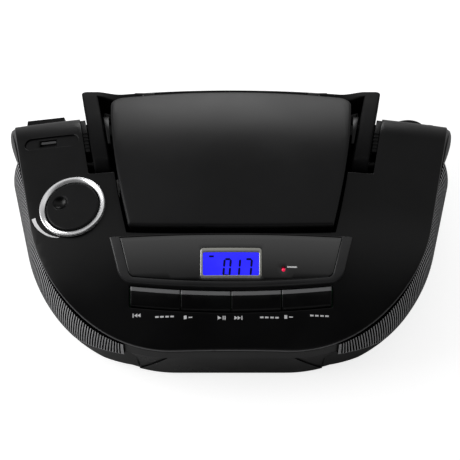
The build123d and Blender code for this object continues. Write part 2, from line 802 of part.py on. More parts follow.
def disc_drive():
    """Chassis, spindle motor, turntable, sled, guide rods and sled drive."""
    low = well_floor - deck_plate
    reach = sled_inner + sled_travel + sled_length
    chassis = block(-24, reach + 8, disc_centre - 26, disc_centre + 26, low - 19, low - 17.4)
    for x in (4, reach + 4):
        for side in (-1, 1):
            y = disc_centre + side * rod_spacing / 2
            chassis += block(x - 2, x + 2, y - 3, y + 3, low - 17.4, low - 5)
    for x in (-21, reach + 5.5):
        for side in (-1, 1):
            y = disc_centre + side * 23.5
            chassis += bar(2.3, (x, y, low - 18), (x, y, low))
    for side in (-1, 1):
        y = disc_centre + side * rod_spacing / 2
        chassis -= bar(rod_radius, (0, y, low - 9), (reach + 10, y, low - 9))
    motor = bar(motor_radius, (0, disc_centre, low - 17.4), (0, disc_centre, low - 17.4 + motor_height))
    bore = bar(spindle_radius + pin_clearance, (0, disc_centre, low - 14), (0, disc_centre, low))
    motor -= bore
    table = bar(turntable_radius, (0, disc_centre, low + 1.6), (0, disc_centre, well_floor + 2.6))
    table += bar(hub_radius, (0, disc_centre, well_floor + 2), (0, disc_centre, deck_top + 3.0))
    table += bar(spindle_radius, (0, disc_centre, low - 13), (0, disc_centre, low + 2))
    rods = []
    for side in (-1, 1):
        y = disc_centre + side * rod_spacing / 2
        rods.append(bar(rod_radius, (2.4, y, low - 9), (reach + 5.6, y, low - 9)))
    x0 = sled_inner
    sled = block(x0, x0 + sled_length, disc_centre - 23, disc_centre + 23, low - 12, low - 6)
    sled += block(x0 + 3, x0 + sled_length - 3, disc_centre - 7, disc_centre + 7, low - 6, low + 1.0)
    for side in (-1, 1):
        y = disc_centre + side * rod_spacing / 2
        sled -= bar(rod_radius + pin_clearance, (0, y, low - 9), (reach, y, low - 9))
    lens = bar(lens_radius, (x0 + 10, disc_centre, low + 1.0), (x0 + 10, disc_centre, low + 2.2))
    wheel_y = disc_centre + 23 + drive_wheel_radius + 0.4
    wheel = bar(drive_wheel_radius, (x0 + 26, wheel_y, low - 12), (x0 + 26, wheel_y, low - 7))
    wheel += bar(1.5, (x0 + 26, wheel_y, low - 16), (x0 + 26, wheel_y, low - 7))
    chassis += block(x0 + 20, x0 + 32, disc_centre + 20, wheel_y + 6, low - 19, low - 17.4)
    chassis += bar(3.2, (x0 + 26, wheel_y, low - 18), (x0 + 26, wheel_y, low - 13))
    chassis -= bar(1.5 + pin_clearance, (x0 + 26, wheel_y, low - 16.4), (x0 + 26, wheel_y, low - 10))
    return chassis, motor, table, rods, sled, lens, wheel


def tuning_parts():
    """Tuning knob at the back and the capacitor that it turns."""
    x, z = tuning_place
    y = lower_back + 1.0
    knob = bar(tuning_radius, (x, y, z), (x, y + tuning_length, z))
    knob = fillet(knob.edges().group_by(Axis.Y)[-1], 1.2)
    rotor = bar(shaft_radius, (x, y - 14.2, z), (x, y, z)) + bar(9.5, (x, y - 19.6, z), (x, y - 14, z))
    box = block(x - 12, x + 12, y - 22, y - 10, z - 12, z + 12)
    box -= block(x - 10.4, x + 10.4, y - 20.4, y - 12, z - 10.4, z + 10.4)
    box -= bar(shaft_radius + 0.5, (x, y - 20, z), (x, y, z))
    return knob, rotor, box


def slide_switch():
    """Tilted housing of the slide switch on the back and its lever."""
    x, z = switch_place
    length, depth, height = switch_size
    y = lower_back - switch_seat
    place = Pos(x, y + depth / 2, z) * Rot(0, -switch_tilt, 0)
    body = place * Box(length, depth, height)
    body -= place * Pos(0, 1.0, 0) * Box(switch_travel + 6.8, depth, 3.2)
    lever = place * Pos(-switch_travel / 2, 1.6, 0) * Box(6.0, depth - 2.0, 2.4)
    return body, lever


def battery_parts():
    """Battery tray, its end contacts and the hatch that closes it."""
    y1 = tail_back - wall - 0.4
    y0 = y1 - bay_depth
    half = hatch_half + 2.6
    z0, z1 = foot_height + wall, hatch_top + 3.0
    inner = half - 1.6
    tray = block(-half, half, y0, y1, z0, z1) - block(-inner, inner, y0 + 1.6, y1 + 5, z0 + 1.6, z1 - 1.6)
    tray += block(-inner, inner, y0 + bay_depth / 2 - 1, y0 + bay_depth / 2 + 1, z0 + 1.6, z0 + 5)
    contacts = []
    for side in (-1, 1):
        for row in (0.27, 0.75):
            x, y = side * (half - 2.0), y0 + bay_depth * row
            contacts.append(Pos(x, y, (z0 + z1) / 2) * Box(0.8, 12, 16))
    y, z = hatch_axis()
    hatch = block(-hatch_half, hatch_half, tail_back - hatch_thickness, tail_back, z, hatch_top)
    hatch += bar(hatch_thickness / 2, (-hatch_half, y, z), (hatch_half, y, z))
    hatch += bar(hatch_pin, (-hatch_half - 1.6, y, z), (hatch_half + 1.6, y, z))
    hatch += block(-12, 12, tail_back - hatch_thickness, tail_back + 0.8, hatch_top - 6, hatch_top - 2)
    return tray, contacts, hatch


def aerial_parts():
    """Turret and the three telescoping sections of the rod aerial."""
    x, y, z = aerial_side, aerial_line, aerial_height
    ear = aerial_radius + 0.35
    turret = bar(6.4, (x, tail_back + 0.35, z), (x, tail_back + 1.45, z))
    turret += bar(turret_shaft, (x, tail_back - wall - 2, z), (x, tail_back + 1, z))
    for side in (-1, 1):
        turret += block(x - 4, x + 4, tail_back + 1.4, y + 3.4, min(z + side * ear, z + side * (ear + 1.3)),
                        max(z + side * ear, z + side * (ear + 1.3)))
    turret += bar(0.9, (x, y, z - ear - 0.5), (x, y, z + ear + 0.5))
    knuckle = bar(aerial_radius, (x, y, z - aerial_radius), (x, y, z + aerial_radius))
    outer = aerial_radius - 0.2
    sections = []
    for number in range(3):
        start = x - 1 if number == 0 else x - 6 - number
        end = x - aerial_length - 3 * number
        tube = bar(outer, (start, y, z), (end, y, z))
        if number == 0:
            tube = tube + knuckle - bar(0.9 + pin_clearance, (x, y, z - 5), (x, y, z + 5))
        if number < 2:
            tube -= bar(outer - aerial_step + 0.08, (x - 6 - 0.5 - number, y, z), (end - 1, y, z))
        else:
            tube += bar(2.4, (end, y, z), (end - 3, y, z))
        sections.append(tube)
        outer -= aerial_step
    return turret, sections


def inlet_parts():
    """Mains inlet with its two pins."""
    x, z = inlet_place
    y = lower_back - 4.6
    body = block(x - 10, x + 10, y - 14, y + 3.6, z - 6, z + 6)
    for side in (-1, 1):
        body -= bar(4.2, (x + side * 4.3, y - 9, z), (x + side * 4.3, y + 5, z))
    body -= block(x - 4.3, x + 4.3, y - 9, y + 5, z - 4.2, z + 4.2)
    pins = [bar(1.2, (x + side * 4.3, y - 12, z), (x + side * 4.3, y, z)) for side in (-1, 1)]
    for pin in pins:
        body -= pin
    return body, pins


def phone_socket():
    """Round socket with a threaded nose and a bore for a plug."""
    x, z = jack_place
    y = lower_back - 4.2
    body = bar(jack_body, (x, y - 6, z), (x, y + 3.0, z))
    body += block(x - 6, x + 6, y - 15, y - 5.4, z - 6, z + 6)
    return body - bar(jack_radius, (x, y + 3.0 - jack_depth, z), (x, y + 6, z))


def boards():
    """Main board with parts, mains transformer and ferrite rod."""
    top = board_level + 1.6
    main = block(-70, 58, front + 62, front + 146, board_level, top)
    for x, y, width, height in ((-50, 80, 14, 4), (-10, 90, 20, 3), (20, 120, 10, 12), (-40, 125, 12, 10)):
        half = width / 2
        main += block(x - half, x + half, front + y - half, front + y + half, top, top + height)
    ferrite = bar(4.0, (50, front + 135, top + 6), (50, front + 72, top + 6))
    for y in (82, 125):
        main += block(44, 56, front + y - 3, front + y + 3, top, top + 6)
    main -= ferrite
    core = block(-122, -84, front + 120, front + 152, foot_height + wall, 40.0)
    coil = block(-116, -90, front + 114, front + 158, 12.0, 34.0)
    return main, core + coil, ferrite


def screws():
    """Case screws from below, into the posts of the upper half."""
    made = []
    for x, y in screw_places():
        head = bar(screw_head, (x, y, foot_height + screw_recess - 1.8), (x, y, foot_height + screw_recess))
        made.append(head + bar(screw_radius, (x, y, foot_height), (x, y, screw_split + screw_bite - 1)))
    return made


def feet():
    """Four round feet seated in the floor."""
    return [bar(foot_radius, (x, y, 0), (x, y, foot_height + foot_seat)) for x, y in foot_places()]


os.makedirs("parts", exist_ok=True)

ring, knob, pot = volume_parts()
usb_metal, usb_tongue = usb_parts()
chassis, motor, table, rods, sled, lens, wheel = disc_drive()
tuning_knob, tuning_rotor, tuning_box = tuning_parts()
switch_body, switch_lever = slide_switch()
tray, contacts, hatch = battery_parts()
turret, sections = aerial_parts()
inlet, inlet_pins = inlet_parts()
main_board, transformer, ferrite = boards()

pieces = {
    "upper_cabinet": upper_cabinet(),
    "lower_cabinet": lower_cabinet(),
    "front_strip": front_strip(),
    "front_plinth": front_plinth(),
    "display_bezel": display_bezel(),
    "display_panel": display_panel(),
    "display_frame": display_frame(),
    "display_window": display_window(),
    "display_module": display_module(),
    "power_lamp": power_lamp(),
    "key_board": key_board(),
    "volume_ring": ring,
    "volume_knob": knob,
    "volume_control": pot,
    "usb_socket": usb_metal,
    "usb_tongue": usb_tongue,
    "cd_lid": cd_lid(),
    "disc_deck": disc_deck(),
    "lid_hinge_pins": hinge_pins(),
    "handle": handle(),
    "handle_pivots": handle_pivots(),
    "drive_chassis": chassis,
    "spindle_motor": motor,
    "turntable": table,
    "sled_rods": rods,
    "laser_sled": sled,
    "laser_lens": lens,
    "sled_drive_wheel": wheel,
    "tuning_knob": tuning_knob,
    "tuning_rotor": tuning_rotor,
    "tuning_capacitor": tuning_box,
    "slide_switch_body": switch_body,
    "slide_switch_lever": switch_lever,
    "battery_tray": tray,
    "battery_contacts": contacts,
    "battery_hatch": hatch,
    "aerial_turret": turret,
    "mains_inlet": inlet,
    "inlet_pins": inlet_pins,
    "phone_socket": phone_socket(),
    "main_board": main_board,
    "mains_transformer": transformer,
    "ferrite_rod": ferrite,
    "case_screws": screws(),
    "feet": feet(),
}
for number, section in enumerate(sections, 1):
    pieces[f"aerial_section_{number}"] = section
for number, name in enumerate(("first", "second", "third", "fourth")):
    pieces[f"{name}_key"] = key(number)
for side, name in ((-1, "left"), (1, "right")):
    pieces[f"{name}_grille"] = grille(side)
    basket, cone, magnet = speaker(side)
    pieces[f"{name}_speaker_basket"] = basket
    pieces[f"{name}_speaker_cone"] = cone
    pieces[f"{name}_speaker_magnet"] = magnet

for name, shape in pieces.items():
    made = Compound(children=shape) if isinstance(shape, list) else shape
    export_step(made, f"parts/{name}.step")
    print(name, len(made.solids()), made.is_valid, round(made.volume), made.bounding_box())
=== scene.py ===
"""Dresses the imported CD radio: skins, grilles, controls, finishes, light and camera.

Lengths are in millimetres until a mesh is made. A place is (x, s, z), where s is the distance
behind the front rim and z the height above the table. A loop is a closed outline in the plan,
an array of (x, s) points that runs counter-clockwise.
"""
import json
import logging
import math
from dataclasses import dataclass, field
from enum import Enum
from typing import Callable, Mapping, Optional, Sequence

import bpy
import numpy as np
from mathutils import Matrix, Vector
from mathutils.geometry import delaunay_2d_cdt

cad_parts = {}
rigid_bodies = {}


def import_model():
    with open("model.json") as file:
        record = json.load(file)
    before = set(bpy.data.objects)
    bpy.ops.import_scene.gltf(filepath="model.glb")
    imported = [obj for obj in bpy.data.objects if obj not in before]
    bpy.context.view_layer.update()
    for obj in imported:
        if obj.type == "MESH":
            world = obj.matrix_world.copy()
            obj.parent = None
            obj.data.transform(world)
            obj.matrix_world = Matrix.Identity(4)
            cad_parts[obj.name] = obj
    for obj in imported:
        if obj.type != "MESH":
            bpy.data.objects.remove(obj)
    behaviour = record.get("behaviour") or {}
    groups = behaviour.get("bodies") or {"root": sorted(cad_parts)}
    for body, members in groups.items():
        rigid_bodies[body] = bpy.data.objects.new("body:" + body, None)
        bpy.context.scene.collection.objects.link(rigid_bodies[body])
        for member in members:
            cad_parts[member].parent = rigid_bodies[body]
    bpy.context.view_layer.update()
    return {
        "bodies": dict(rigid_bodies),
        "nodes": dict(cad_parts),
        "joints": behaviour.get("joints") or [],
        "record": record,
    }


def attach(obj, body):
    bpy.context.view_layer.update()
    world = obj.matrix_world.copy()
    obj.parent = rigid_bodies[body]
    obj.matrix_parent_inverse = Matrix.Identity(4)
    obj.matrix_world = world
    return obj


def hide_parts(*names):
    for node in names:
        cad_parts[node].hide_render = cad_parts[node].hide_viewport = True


log = logging.getLogger("cd_radio")
MILLIMETRE = 0.001
FRONT = -109.7  # the front rim's Y in the shared frame
PHOTO_WIDTH = 460  # pixels
KNOB_PLACE = (-111.5, 95.0)
SIDES = ((-1, "left"), (1, "right"))
EDGE_ROWS = (0.0, 0.08, 0.3, 0.62, 1.0)  # rows of points along a rounded edge, as shares of its radius
CIRCLE = 0.7071  # weight at which a conic in a right angle is a quarter of a circle
WELD = 1e-5  # points closer than this are one
SLIVER = 1e-7  # triangles smaller than this are left out
ON_AXIS = 0.01  # radius that stands for a point on the axis of a turned piece
COARSE = (6.0, 4.0)  # spacing of points away from the edges and along them
FINE = (2.0, 1.0)
Height = Callable[[np.ndarray, np.ndarray], np.ndarray]
Pair = tuple[float, float]
Triple = tuple[float, float, float]
Quad = tuple[float, float, float, float]


@dataclass
class Shell:
    """Points in millimetres and the faces between them; `tint` is a face material index."""

    points: np.ndarray
    faces: list[np.ndarray]
    tint: list[np.ndarray] = field(default_factory=list)

    def __add__(self, other: "Shell") -> "Shell":
        """Both shells in one."""
        faces = self.faces + [f + len(self.points) for f in other.faces]
        return Shell(np.vstack([self.points, other.points]), faces, self.tints() + other.tints())

    def tints(self) -> list[np.ndarray]:
        """The material index of every face, zero where none was given."""
        return self.tint or [np.zeros(len(f), dtype=np.int32) for f in self.faces]

    def on(self, side: int) -> "Shell":
        """A left shell for side -1, or its mirror image, faces turned back outward, for side 1."""
        flipped = Shell(self.points * (-1, 1, 1), [f[:, ::-1] for f in self.faces], self.tint)
        return self if side < 0 else flipped


def joined(shells: Sequence[Shell]) -> Shell:
    """Several shells in one."""
    return sum(shells[1:], shells[0])


def put(name: str, shell: Shell, finishes: Sequence["Finishes"], body: str, sharp: float = 40.0,
        stands_for: Sequence[str] = ()) -> None:
    """Makes a piece from a shell and fixes it to a body.

    Args:
        name: Name of the piece.
        shell: Its surface in (x, s, z).
        finishes: Finishes for the material indices 0, 1 and so on.
        body: Body on which it rides.
        sharp: Angle in degrees past which an edge stays sharp.
        stands_for: CAD nodes that the piece replaces.
    """
    mesh = bpy.data.meshes.new(name)
    points = (shell.points + (0.0, FRONT, 0.0)) * MILLIMETRE
    loops = np.concatenate([f.ravel() for f in shell.faces]).astype(np.int32)
    sizes = np.concatenate([np.full(len(f), f.shape[1]) for f in shell.faces])
    starts = np.concatenate([[0], np.cumsum(sizes)[:-1]]).astype(np.int32)
    mesh.vertices.add(len(points))
    mesh.vertices.foreach_set("co", points.astype(np.float32).ravel())
    mesh.loops.add(len(loops))
    mesh.loops.foreach_set("vertex_index", loops)
    mesh.polygons.add(len(sizes))
    mesh.polygons.foreach_set("loop_start", starts)
    mesh.polygons.foreach_set("material_index", np.concatenate(shell.tints()).astype(np.int32))
    mesh.polygons.foreach_set("use_smooth", np.ones(len(sizes), dtype=bool))
    mesh.update(calc_edges=True)
    mesh.validate()
    mesh.set_sharp_from_angle(angle=math.radians(sharp))
    for finish in finishes:
        mesh.materials.append(finish.value.material())
    piece = bpy.data.objects.new(name, mesh)
    bpy.context.scene.collection.objects.link(piece)
    if stands_for:
        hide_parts(*stands_for)
    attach(piece, body)
    log.info("%s: %d faces on %s", name, len(sizes), body)


def arc(centre: Pair, radius: float, start: float, end: float, count: int) -> np.ndarray:
    """Points on a circle in the plan between two angles in degrees."""
    angle = np.radians(np.linspace(start, end, count))
    return np.stack([centre[0] + radius * np.cos(angle), centre[1] + radius * np.sin(angle)], axis=1)


def rectangle(left: float, right: float, near: float, far: float) -> np.ndarray:
    """Loop of four corners."""
    return np.array([[left, near], [right, near], [right, far], [left, far]])


def closed(right: np.ndarray) -> np.ndarray:
    """Loop made of a right half, listed front to back, and its mirror image."""
    return np.vstack([right, right[::-1] * (-1, 1)])


def placed(right: np.ndarray, side: int) -> np.ndarray:
    """A loop of the right side, or for side -1 its mirror image, which runs the same way round."""
    return right if side > 0 else (right * (-1, 1))[::-1]


def eased(loop: np.ndarray, corners: Sequence[Sequence[float]], reach: float) -> np.ndarray:
    """Loop with some corners rounded by a conic whose weight makes a right angle a circle's quarter.

    Args:
        loop: The loop.
        corners: The corners to round.
        reach: Distance from a corner at which its rounding starts.

    Returns:
        The loop with the rounded corners in it.
    """
    t = np.linspace(0, 1, 9)[:, None]
    weight = 2 * CIRCLE * t * (1 - t)
    for corner in np.array(corners):
        loop = np.roll(loop, -int(np.hypot(*(loop - corner).T).argmin()), axis=0)
        keep = loop[np.hypot(*(loop - corner).T) > reach]
        before, after = keep[-1] - corner, keep[0] - corner
        a, b = corner + before / np.hypot(*before) * reach, corner + after / np.hypot(*after) * reach
        bend = ((1 - t) ** 2 * a + weight * corner + t**2 * b) / ((1 - t) ** 2 + weight + t**2)
        loop = np.vstack([keep, bend])
    return loop


def resampled(loop: np.ndarray, step: float) -> np.ndarray:
    """Loop with its corners kept and its long runs divided.

    Args:
        loop: The loop.
        step: Longest piece that a run is divided into.

    Returns:
        The loop with more points.
    """
    ring = np.vstack([loop, loop[:1]])
    run = np.hypot(*np.diff(ring, axis=0).T)
    ring = ring[np.concatenate([run > 1e-6, [True]])]
    along = np.concatenate([[0], np.cumsum(np.hypot(*np.diff(ring, axis=0).T))])
    extra = np.arange(0, along[-1], step)
    gap = np.abs(extra[:, None] - along[None, :]).min(axis=1)
    places = np.unique(np.concatenate([along[:-1], extra[gap > 0.35 * step]]))
    return np.stack([np.interp(places, along, ring[:, 0]), np.interp(places, along, ring[:, 1])], axis=1)


def inset(loop: np.ndarray, distance: float) -> np.ndarray:
    """Loop moved to its left, inward, with its corners mitred.

    Args:
        loop: The loop.
        distance: How far each edge moves.

    Returns:
        The moved loop, point by point.
    """
    ahead = np.roll(loop, -1, axis=0) - loop
    ahead /= np.maximum(np.hypot(*ahead.T), 1e-9)[:, None]
    behind = np.roll(ahead, 1, axis=0)
    left_a = np.stack([-ahead[:, 1], ahead[:, 0]], axis=1)
    left_b = np.stack([-behind[:, 1], behind[:, 0]], axis=1)
    middle = left_a + left_b
    middle /= np.maximum(np.hypot(*middle.T), 1e-9)[:, None]
    reach = distance / np.maximum((middle * left_a).sum(axis=1), 0.35)
    return loop + middle * reach[:, None]


def within(points: np.ndarray, loop: np.ndarray) -> np.ndarray:
    """Which points lie inside a loop, by counting the edges that a ray along X crosses.

    Args:
        points: Points in the plan.
        loop: The loop.

    Returns:
        True or False for each point.
    """
    x, y = points[:, :1], points[:, 1:2]
    ax, ay = loop[:, 0], loop[:, 1]
    bx, by = np.roll(ax, -1), np.roll(ay, -1)
    with np.errstate(divide="ignore", invalid="ignore"):
        cut = ax + (y - ay) / (by - ay) * (bx - ax)
        hits = ((ay > y) != (by > y)) & (x < cut)
    return hits.sum(axis=1) % 2 == 1


def distance_to(points: np.ndarray, a: np.ndarray, b: np.ndarray) -> np.ndarray:
    """Least distance in the plan from each point to a set of segments.

    Args:
        points: Points in the plan.
        a: Where each segment starts.
        b: Where each segment ends.

    Returns:
        One distance for each point.
    """
    found = []
    run = b - a
    length = np.maximum((run**2).sum(axis=1), 1e-12)
    for part in np.array_split(points, max(1, len(points) // 1500)):
        to = part[:, None, :] - a[None]
        t = np.clip((to * run[None]).sum(axis=2) / length, 0, 1)
        gap = to - t[:, :, None] * run[None]
        found.append(np.sqrt((gap**2).sum(axis=2)).min(axis=1))
    return np.concatenate(found)


def triangles(plan: np.ndarray, edges: np.ndarray,
              inside: Callable[[np.ndarray], np.ndarray]) -> tuple[np.ndarray, np.ndarray]:
    """Triangles over part of the plan.

    Args:
        plan: Points to use.
        edges: Pairs of points that a triangle's edge has to join.
        inside: Tells which places belong to the part.

    Returns:
        The points used and the counter-clockwise triangles between them.
    """
    made = delaunay_2d_cdt([Vector(p) for p in plan], edges.tolist(), [], 0, WELD)
    points, faces = np.array([tuple(p) for p in made[0]]), np.array(made[2])
    faces = faces[inside(points[faces].mean(axis=1))]
    p, q, r = points[faces[:, 0]], points[faces[:, 1]], points[faces[:, 2]]
    area = (q[:, 0] - p[:, 0]) * (r[:, 1] - p[:, 1]) - (q[:, 1] - p[:, 1]) * (r[:, 0] - p[:, 0])
    faces, area = faces[np.abs(area) > SLIVER], area[np.abs(area) > SLIVER]
    faces[area < 0] = faces[area < 0][:, ::-1]
    used, faces = np.unique(faces, return_inverse=True)
    return points[used], faces.reshape(-1, 3)


def plate(outers: Sequence[np.ndarray], holes: Sequence[np.ndarray], top: Height, bottom: Height,
          radius: float, step: float = 4.0, edge: float = 1.6, rows: Optional[np.ndarray] = None,
          under: bool = False, guides: Sequence[np.ndarray] = ()) -> Shell:
    """Closed shell between two height surfaces over an outline with openings.

    The outline is cut into triangles. A point at distance d from the nearest edge lies lower than
    the top surface by r - sqrt(r^2 - (r - d)^2) while d is less than the radius r, which rounds
    every upper edge; with `under` the lower surface rises by as much.

    Args:
        outers: Loops inside any of which the plate lies.
        holes: Loops outside all of which it lies.
        top: Height of the upper surface.
        bottom: Height of the lower surface.
        radius: Radius of the rounded edges.
        step: Spacing of points away from the edges.
        edge: Spacing of points along the edges.
        rows: Places of the rows of points, even if left out.
        under: Whether the lower edges are rounded too.
        guides: Loops that only place points.

    Returns:
        The closed shell.
    """
    def inside(points: np.ndarray) -> np.ndarray:
        """Which points belong to the plate."""
        return np.any([within(points, o) for o in outers], axis=0) & ~np.any(
            [np.zeros(len(points), bool)] + [within(points, h) for h in holes], axis=0)

    loops = [*outers, *holes, *guides]
    rings = []
    for number, loop in enumerate(loops):
        side = -1 if len(outers) <= number < len(outers) + len(holes) else 1
        base = resampled(loop, edge)
        rings += [inset(base, side * share * radius) for share in EDGE_ROWS]
    starts = np.cumsum([0] + [len(r) for r in rings])
    edges = np.vstack([np.stack([np.arange(len(r)), (np.arange(len(r)) + 1) % len(r)], axis=1) + k
                       for r, k in zip(rings, starts)])
    low, high = np.vstack(loops).min(axis=0), np.vstack(loops).max(axis=0)
    rows = np.arange(low[1], high[1], step) if rows is None else rows
    grid = np.stack([g.ravel() for g in np.meshgrid(np.arange(low[0], high[0], step), rows)], axis=1)
    grid = grid[inside(grid)]
    coarse = [resampled(loop, edge * 2) for loop in loops]
    gap = distance_to(grid, np.vstack(coarse), np.vstack([np.roll(loop, -1, axis=0) for loop in coarse]))
    points, faces = triangles(np.vstack(rings + [grid[gap > radius + 0.3 * step]]), edges, inside)
    sides = np.vstack([faces[:, [0, 1]], faces[:, [1, 2]], faces[:, [2, 0]]])
    key = np.sort(sides, axis=1)
    _, index, count = np.unique(key[:, 0] * len(points) + key[:, 1], return_index=True, return_counts=True)
    rim = sides[index[count == 1]]
    gap = distance_to(points, points[rim[:, 0]], points[rim[:, 1]])
    gap[np.unique(rim)] = 0.0
    short = np.clip(radius - gap, 0, radius)
    drop = radius - np.sqrt(np.maximum(radius**2 - short**2, 0))
    roof, floor = top(*points.T), bottom(*points.T)
    drop *= np.clip((roof - floor) / (2.2 * radius), 0, 1)
    upper = np.column_stack([points, roof - drop])
    lower = np.column_stack([points, floor + drop if under else floor])
    n = len(points)
    walls = np.stack([rim[:, 0], rim[:, 0] + n, rim[:, 1] + n, rim[:, 1]], axis=1)
    return Shell(np.vstack([upper, lower]), [np.vstack([faces, faces[:, ::-1] + n]), walls])


def level(height: float) -> Height:
    """Flat surface at one height."""
    return lambda x, s: np.full_like(x, height)


def grid_faces(rows: int, columns: int, wrap: bool = False) -> np.ndarray:
    """Quads of a grid of points listed row by row.

    Args:
        rows: Number of rows.
        columns: Points in each row.
        wrap: Whether the last column is joined to the first.

    Returns:
        Four point numbers for each quad.
    """
    r, c = np.meshgrid(np.arange(rows - 1), np.arange(columns if wrap else columns - 1), indexing="ij")
    r, c = r.ravel(), c.ravel()
    n = (c + 1) % columns
    return np.stack([r * columns + c, r * columns + n, (r + 1) * columns + n, (r + 1) * columns + c], axis=1)


def double_skin(outer: np.ndarray, inner: np.ndarray, dark: Optional[np.ndarray] = None) -> Shell:
    """Closed shell between two grids of points.

    Args:
        outer: Points of the outer face by row and column, rows upward and columns toward the back.
        inner: Points of the inner face in the same order.
        dark: Which outer faces take the second finish, a painted shade; the edge walls then take it too.

    Returns:
        Both faces and the walls between their edges.
    """
    rows, columns = outer.shape[:2]
    count = rows * columns
    front = grid_faces(rows, columns)
    ids = np.arange(count).reshape(rows, columns)
    rim = np.concatenate([ids[0, :-1], ids[:-1, -1], ids[-1, :0:-1], ids[:0:-1, 0]])
    after = np.roll(rim, -1)
    walls = np.stack([after, rim, rim + count, after + count], axis=1)
    plain = np.zeros(len(front), np.int32)
    tint = plain if dark is None else dark.astype(np.int32)
    edge_tint = np.full(len(walls), int(dark is not None), np.int32)
    return Shell(np.vstack([outer.reshape(-1, 3), inner.reshape(-1, 3)]),
                 [front[:, ::-1], front + count, walls], [tint, plain, edge_tint])


def turned(profile: Sequence[Sequence[float]], origin: np.ndarray, frame: np.ndarray,
           count: int = 96) -> Shell:
    """Profile of (radius, height) pairs turned about the third axis of a frame.

    Args:
        profile: Radius and height of each ring, listed outward at the foot and inward at the top.
        origin: Place of the profile's zero.
        frame: Three unit axes as rows.
        count: Points round each ring.

    Returns:
        A shell that is closed where the profile starts and ends on the axis.
    """
    turn = np.linspace(0, 2 * np.pi, count, endpoint=False)
    r, h = np.hsplit(np.array(profile), 2)
    local = np.stack([r * np.cos(turn), r * np.sin(turn), h + 0 * turn], axis=2).reshape(-1, 3)
    return Shell(origin + local @ frame, [grid_faces(len(r), count, True)])


def slab(outline: np.ndarray, low: float, high: float, origin: np.ndarray, frame: np.ndarray,
         bevel: float = 0.0) -> Shell:
    """Flat plate over a convex outline in a frame's first two axes.

    Args:
        outline: The outline, counter-clockwise.
        low: Height of its underside along the third axis.
        high: Height of its top.
        origin: Place of the frame.
        frame: Three unit axes as rows.
        bevel: Width of the bevel along its upper edges.

    Returns:
        The closed shell.
    """
    n = len(outline)
    levels = [(outline, low), (outline, high - bevel)] + ([(inset(outline, bevel), high)] if bevel else [])
    k = len(levels)
    rings = [np.column_stack([ring, np.full(n, z)]) for ring, z in levels]
    middle = [[*outline.mean(axis=0), z] for z in (low, high)]
    spin, after = np.arange(n), (np.arange(n) + 1) % n
    floor = np.stack([after, spin, np.full(n, n * k)], axis=1)
    roof = np.stack([spin + n * (k - 1), after + n * (k - 1), np.full(n, n * k + 1)], axis=1)
    points = origin + np.vstack([*rings, middle]) @ frame
    return Shell(points, [grid_faces(k, n, True), np.vstack([floor, roof])])


@dataclass(frozen=True)
class Cover:
    """Upper surface of the body: a side outline carried round an axis far below the body.

    `rim` is the height of the front rim and `axis` that of the low axis. `run`, `bend` and `flat`
    are the lengths in the plan of the apron line, the large bend and the gentle line, `slope` and
    `tilt` the angles of the two lines, and `roll` is the radius of the roll-off.
    """

    rim: float = 55.0
    slope: float = 36.0
    run: float = 22.0
    bend: float = 73.0
    tilt: float = 3.0
    flat: float = 60.0
    roll: float = 28.0
    axis: float = -610.0

    def outline(self, s: np.ndarray, out: float) -> np.ndarray:
        """Height on the middle line: apron line, large bend, gentle line, then the roll-off circle.

        Args:
            s: Distances behind the front rim.
            out: Distance by which the surface is moved outward.

        Returns:
            One height for each distance.
        """
        a, t = math.radians(self.slope), math.radians(self.tilt)
        bend = self.bend / (math.sin(a) - math.sin(t))
        mid = (self.run + math.sin(a) * bend, self.rim + self.run * math.tan(a) - math.cos(a) * bend)
        crest = (mid[0] - math.sin(t) * bend, mid[1] + math.cos(t) * bend)
        brink = (crest[0] + self.flat, crest[1] + self.flat * math.tan(t))
        hub = (brink[0] + math.sin(t) * self.roll, brink[1] - math.cos(t) * self.roll)
        apron = self.rim + s * math.tan(a) + out / math.cos(a)
        bowed = mid[1] + np.sqrt(np.maximum((bend + out) ** 2 - (s - mid[0]) ** 2, 0))
        top = crest[1] + (s - crest[0]) * math.tan(t) + out / math.cos(t)
        rolled = hub[1] + np.sqrt(np.maximum((self.roll + out) ** 2 - (s - hub[0]) ** 2, 0))
        limits = [mid[0] - math.sin(a) * (bend + out), mid[0] - math.sin(t) * (bend + out),
                  hub[0] - math.sin(t) * (self.roll + out)]
        return np.select([s < limit for limit in limits], [apron, bowed, top], rolled)

    def height(self, x: np.ndarray, s: np.ndarray, out: float = 0.0) -> np.ndarray:
        """Height over a plan point of the surface moved outward: a circle about the low axis."""
        return np.sqrt((self.outline(s, out) - self.axis) ** 2 - x**2) + self.axis

    def at(self, out: float) -> Height:
        """Height function of the surface moved outward by a distance."""
        return lambda x, s: self.height(x, s, out)

    def frame(self, x: float, s: float) -> tuple[np.ndarray, np.ndarray]:
        """Axes that stand on the surface, from its slopes over a short step each way.

        Args:
            x: Place across the body.
            s: Place behind the front rim.

        Returns:
            The point, and its three unit axes as rows: across, up the slope and outward.
        """
        e = 0.05
        z = self.height(np.array([x, x + e, x]), np.array([s, s, s + e]))
        across = np.array([e, 0, z[1] - z[0]])
        across /= np.linalg.norm(across)
        normal = np.cross(across, np.array([0, e, z[2] - z[0]]))
        normal /= np.linalg.norm(normal)
        return np.array([x, s, z[0]]), np.stack([across, np.cross(normal, across), normal])


COVER = Cover()


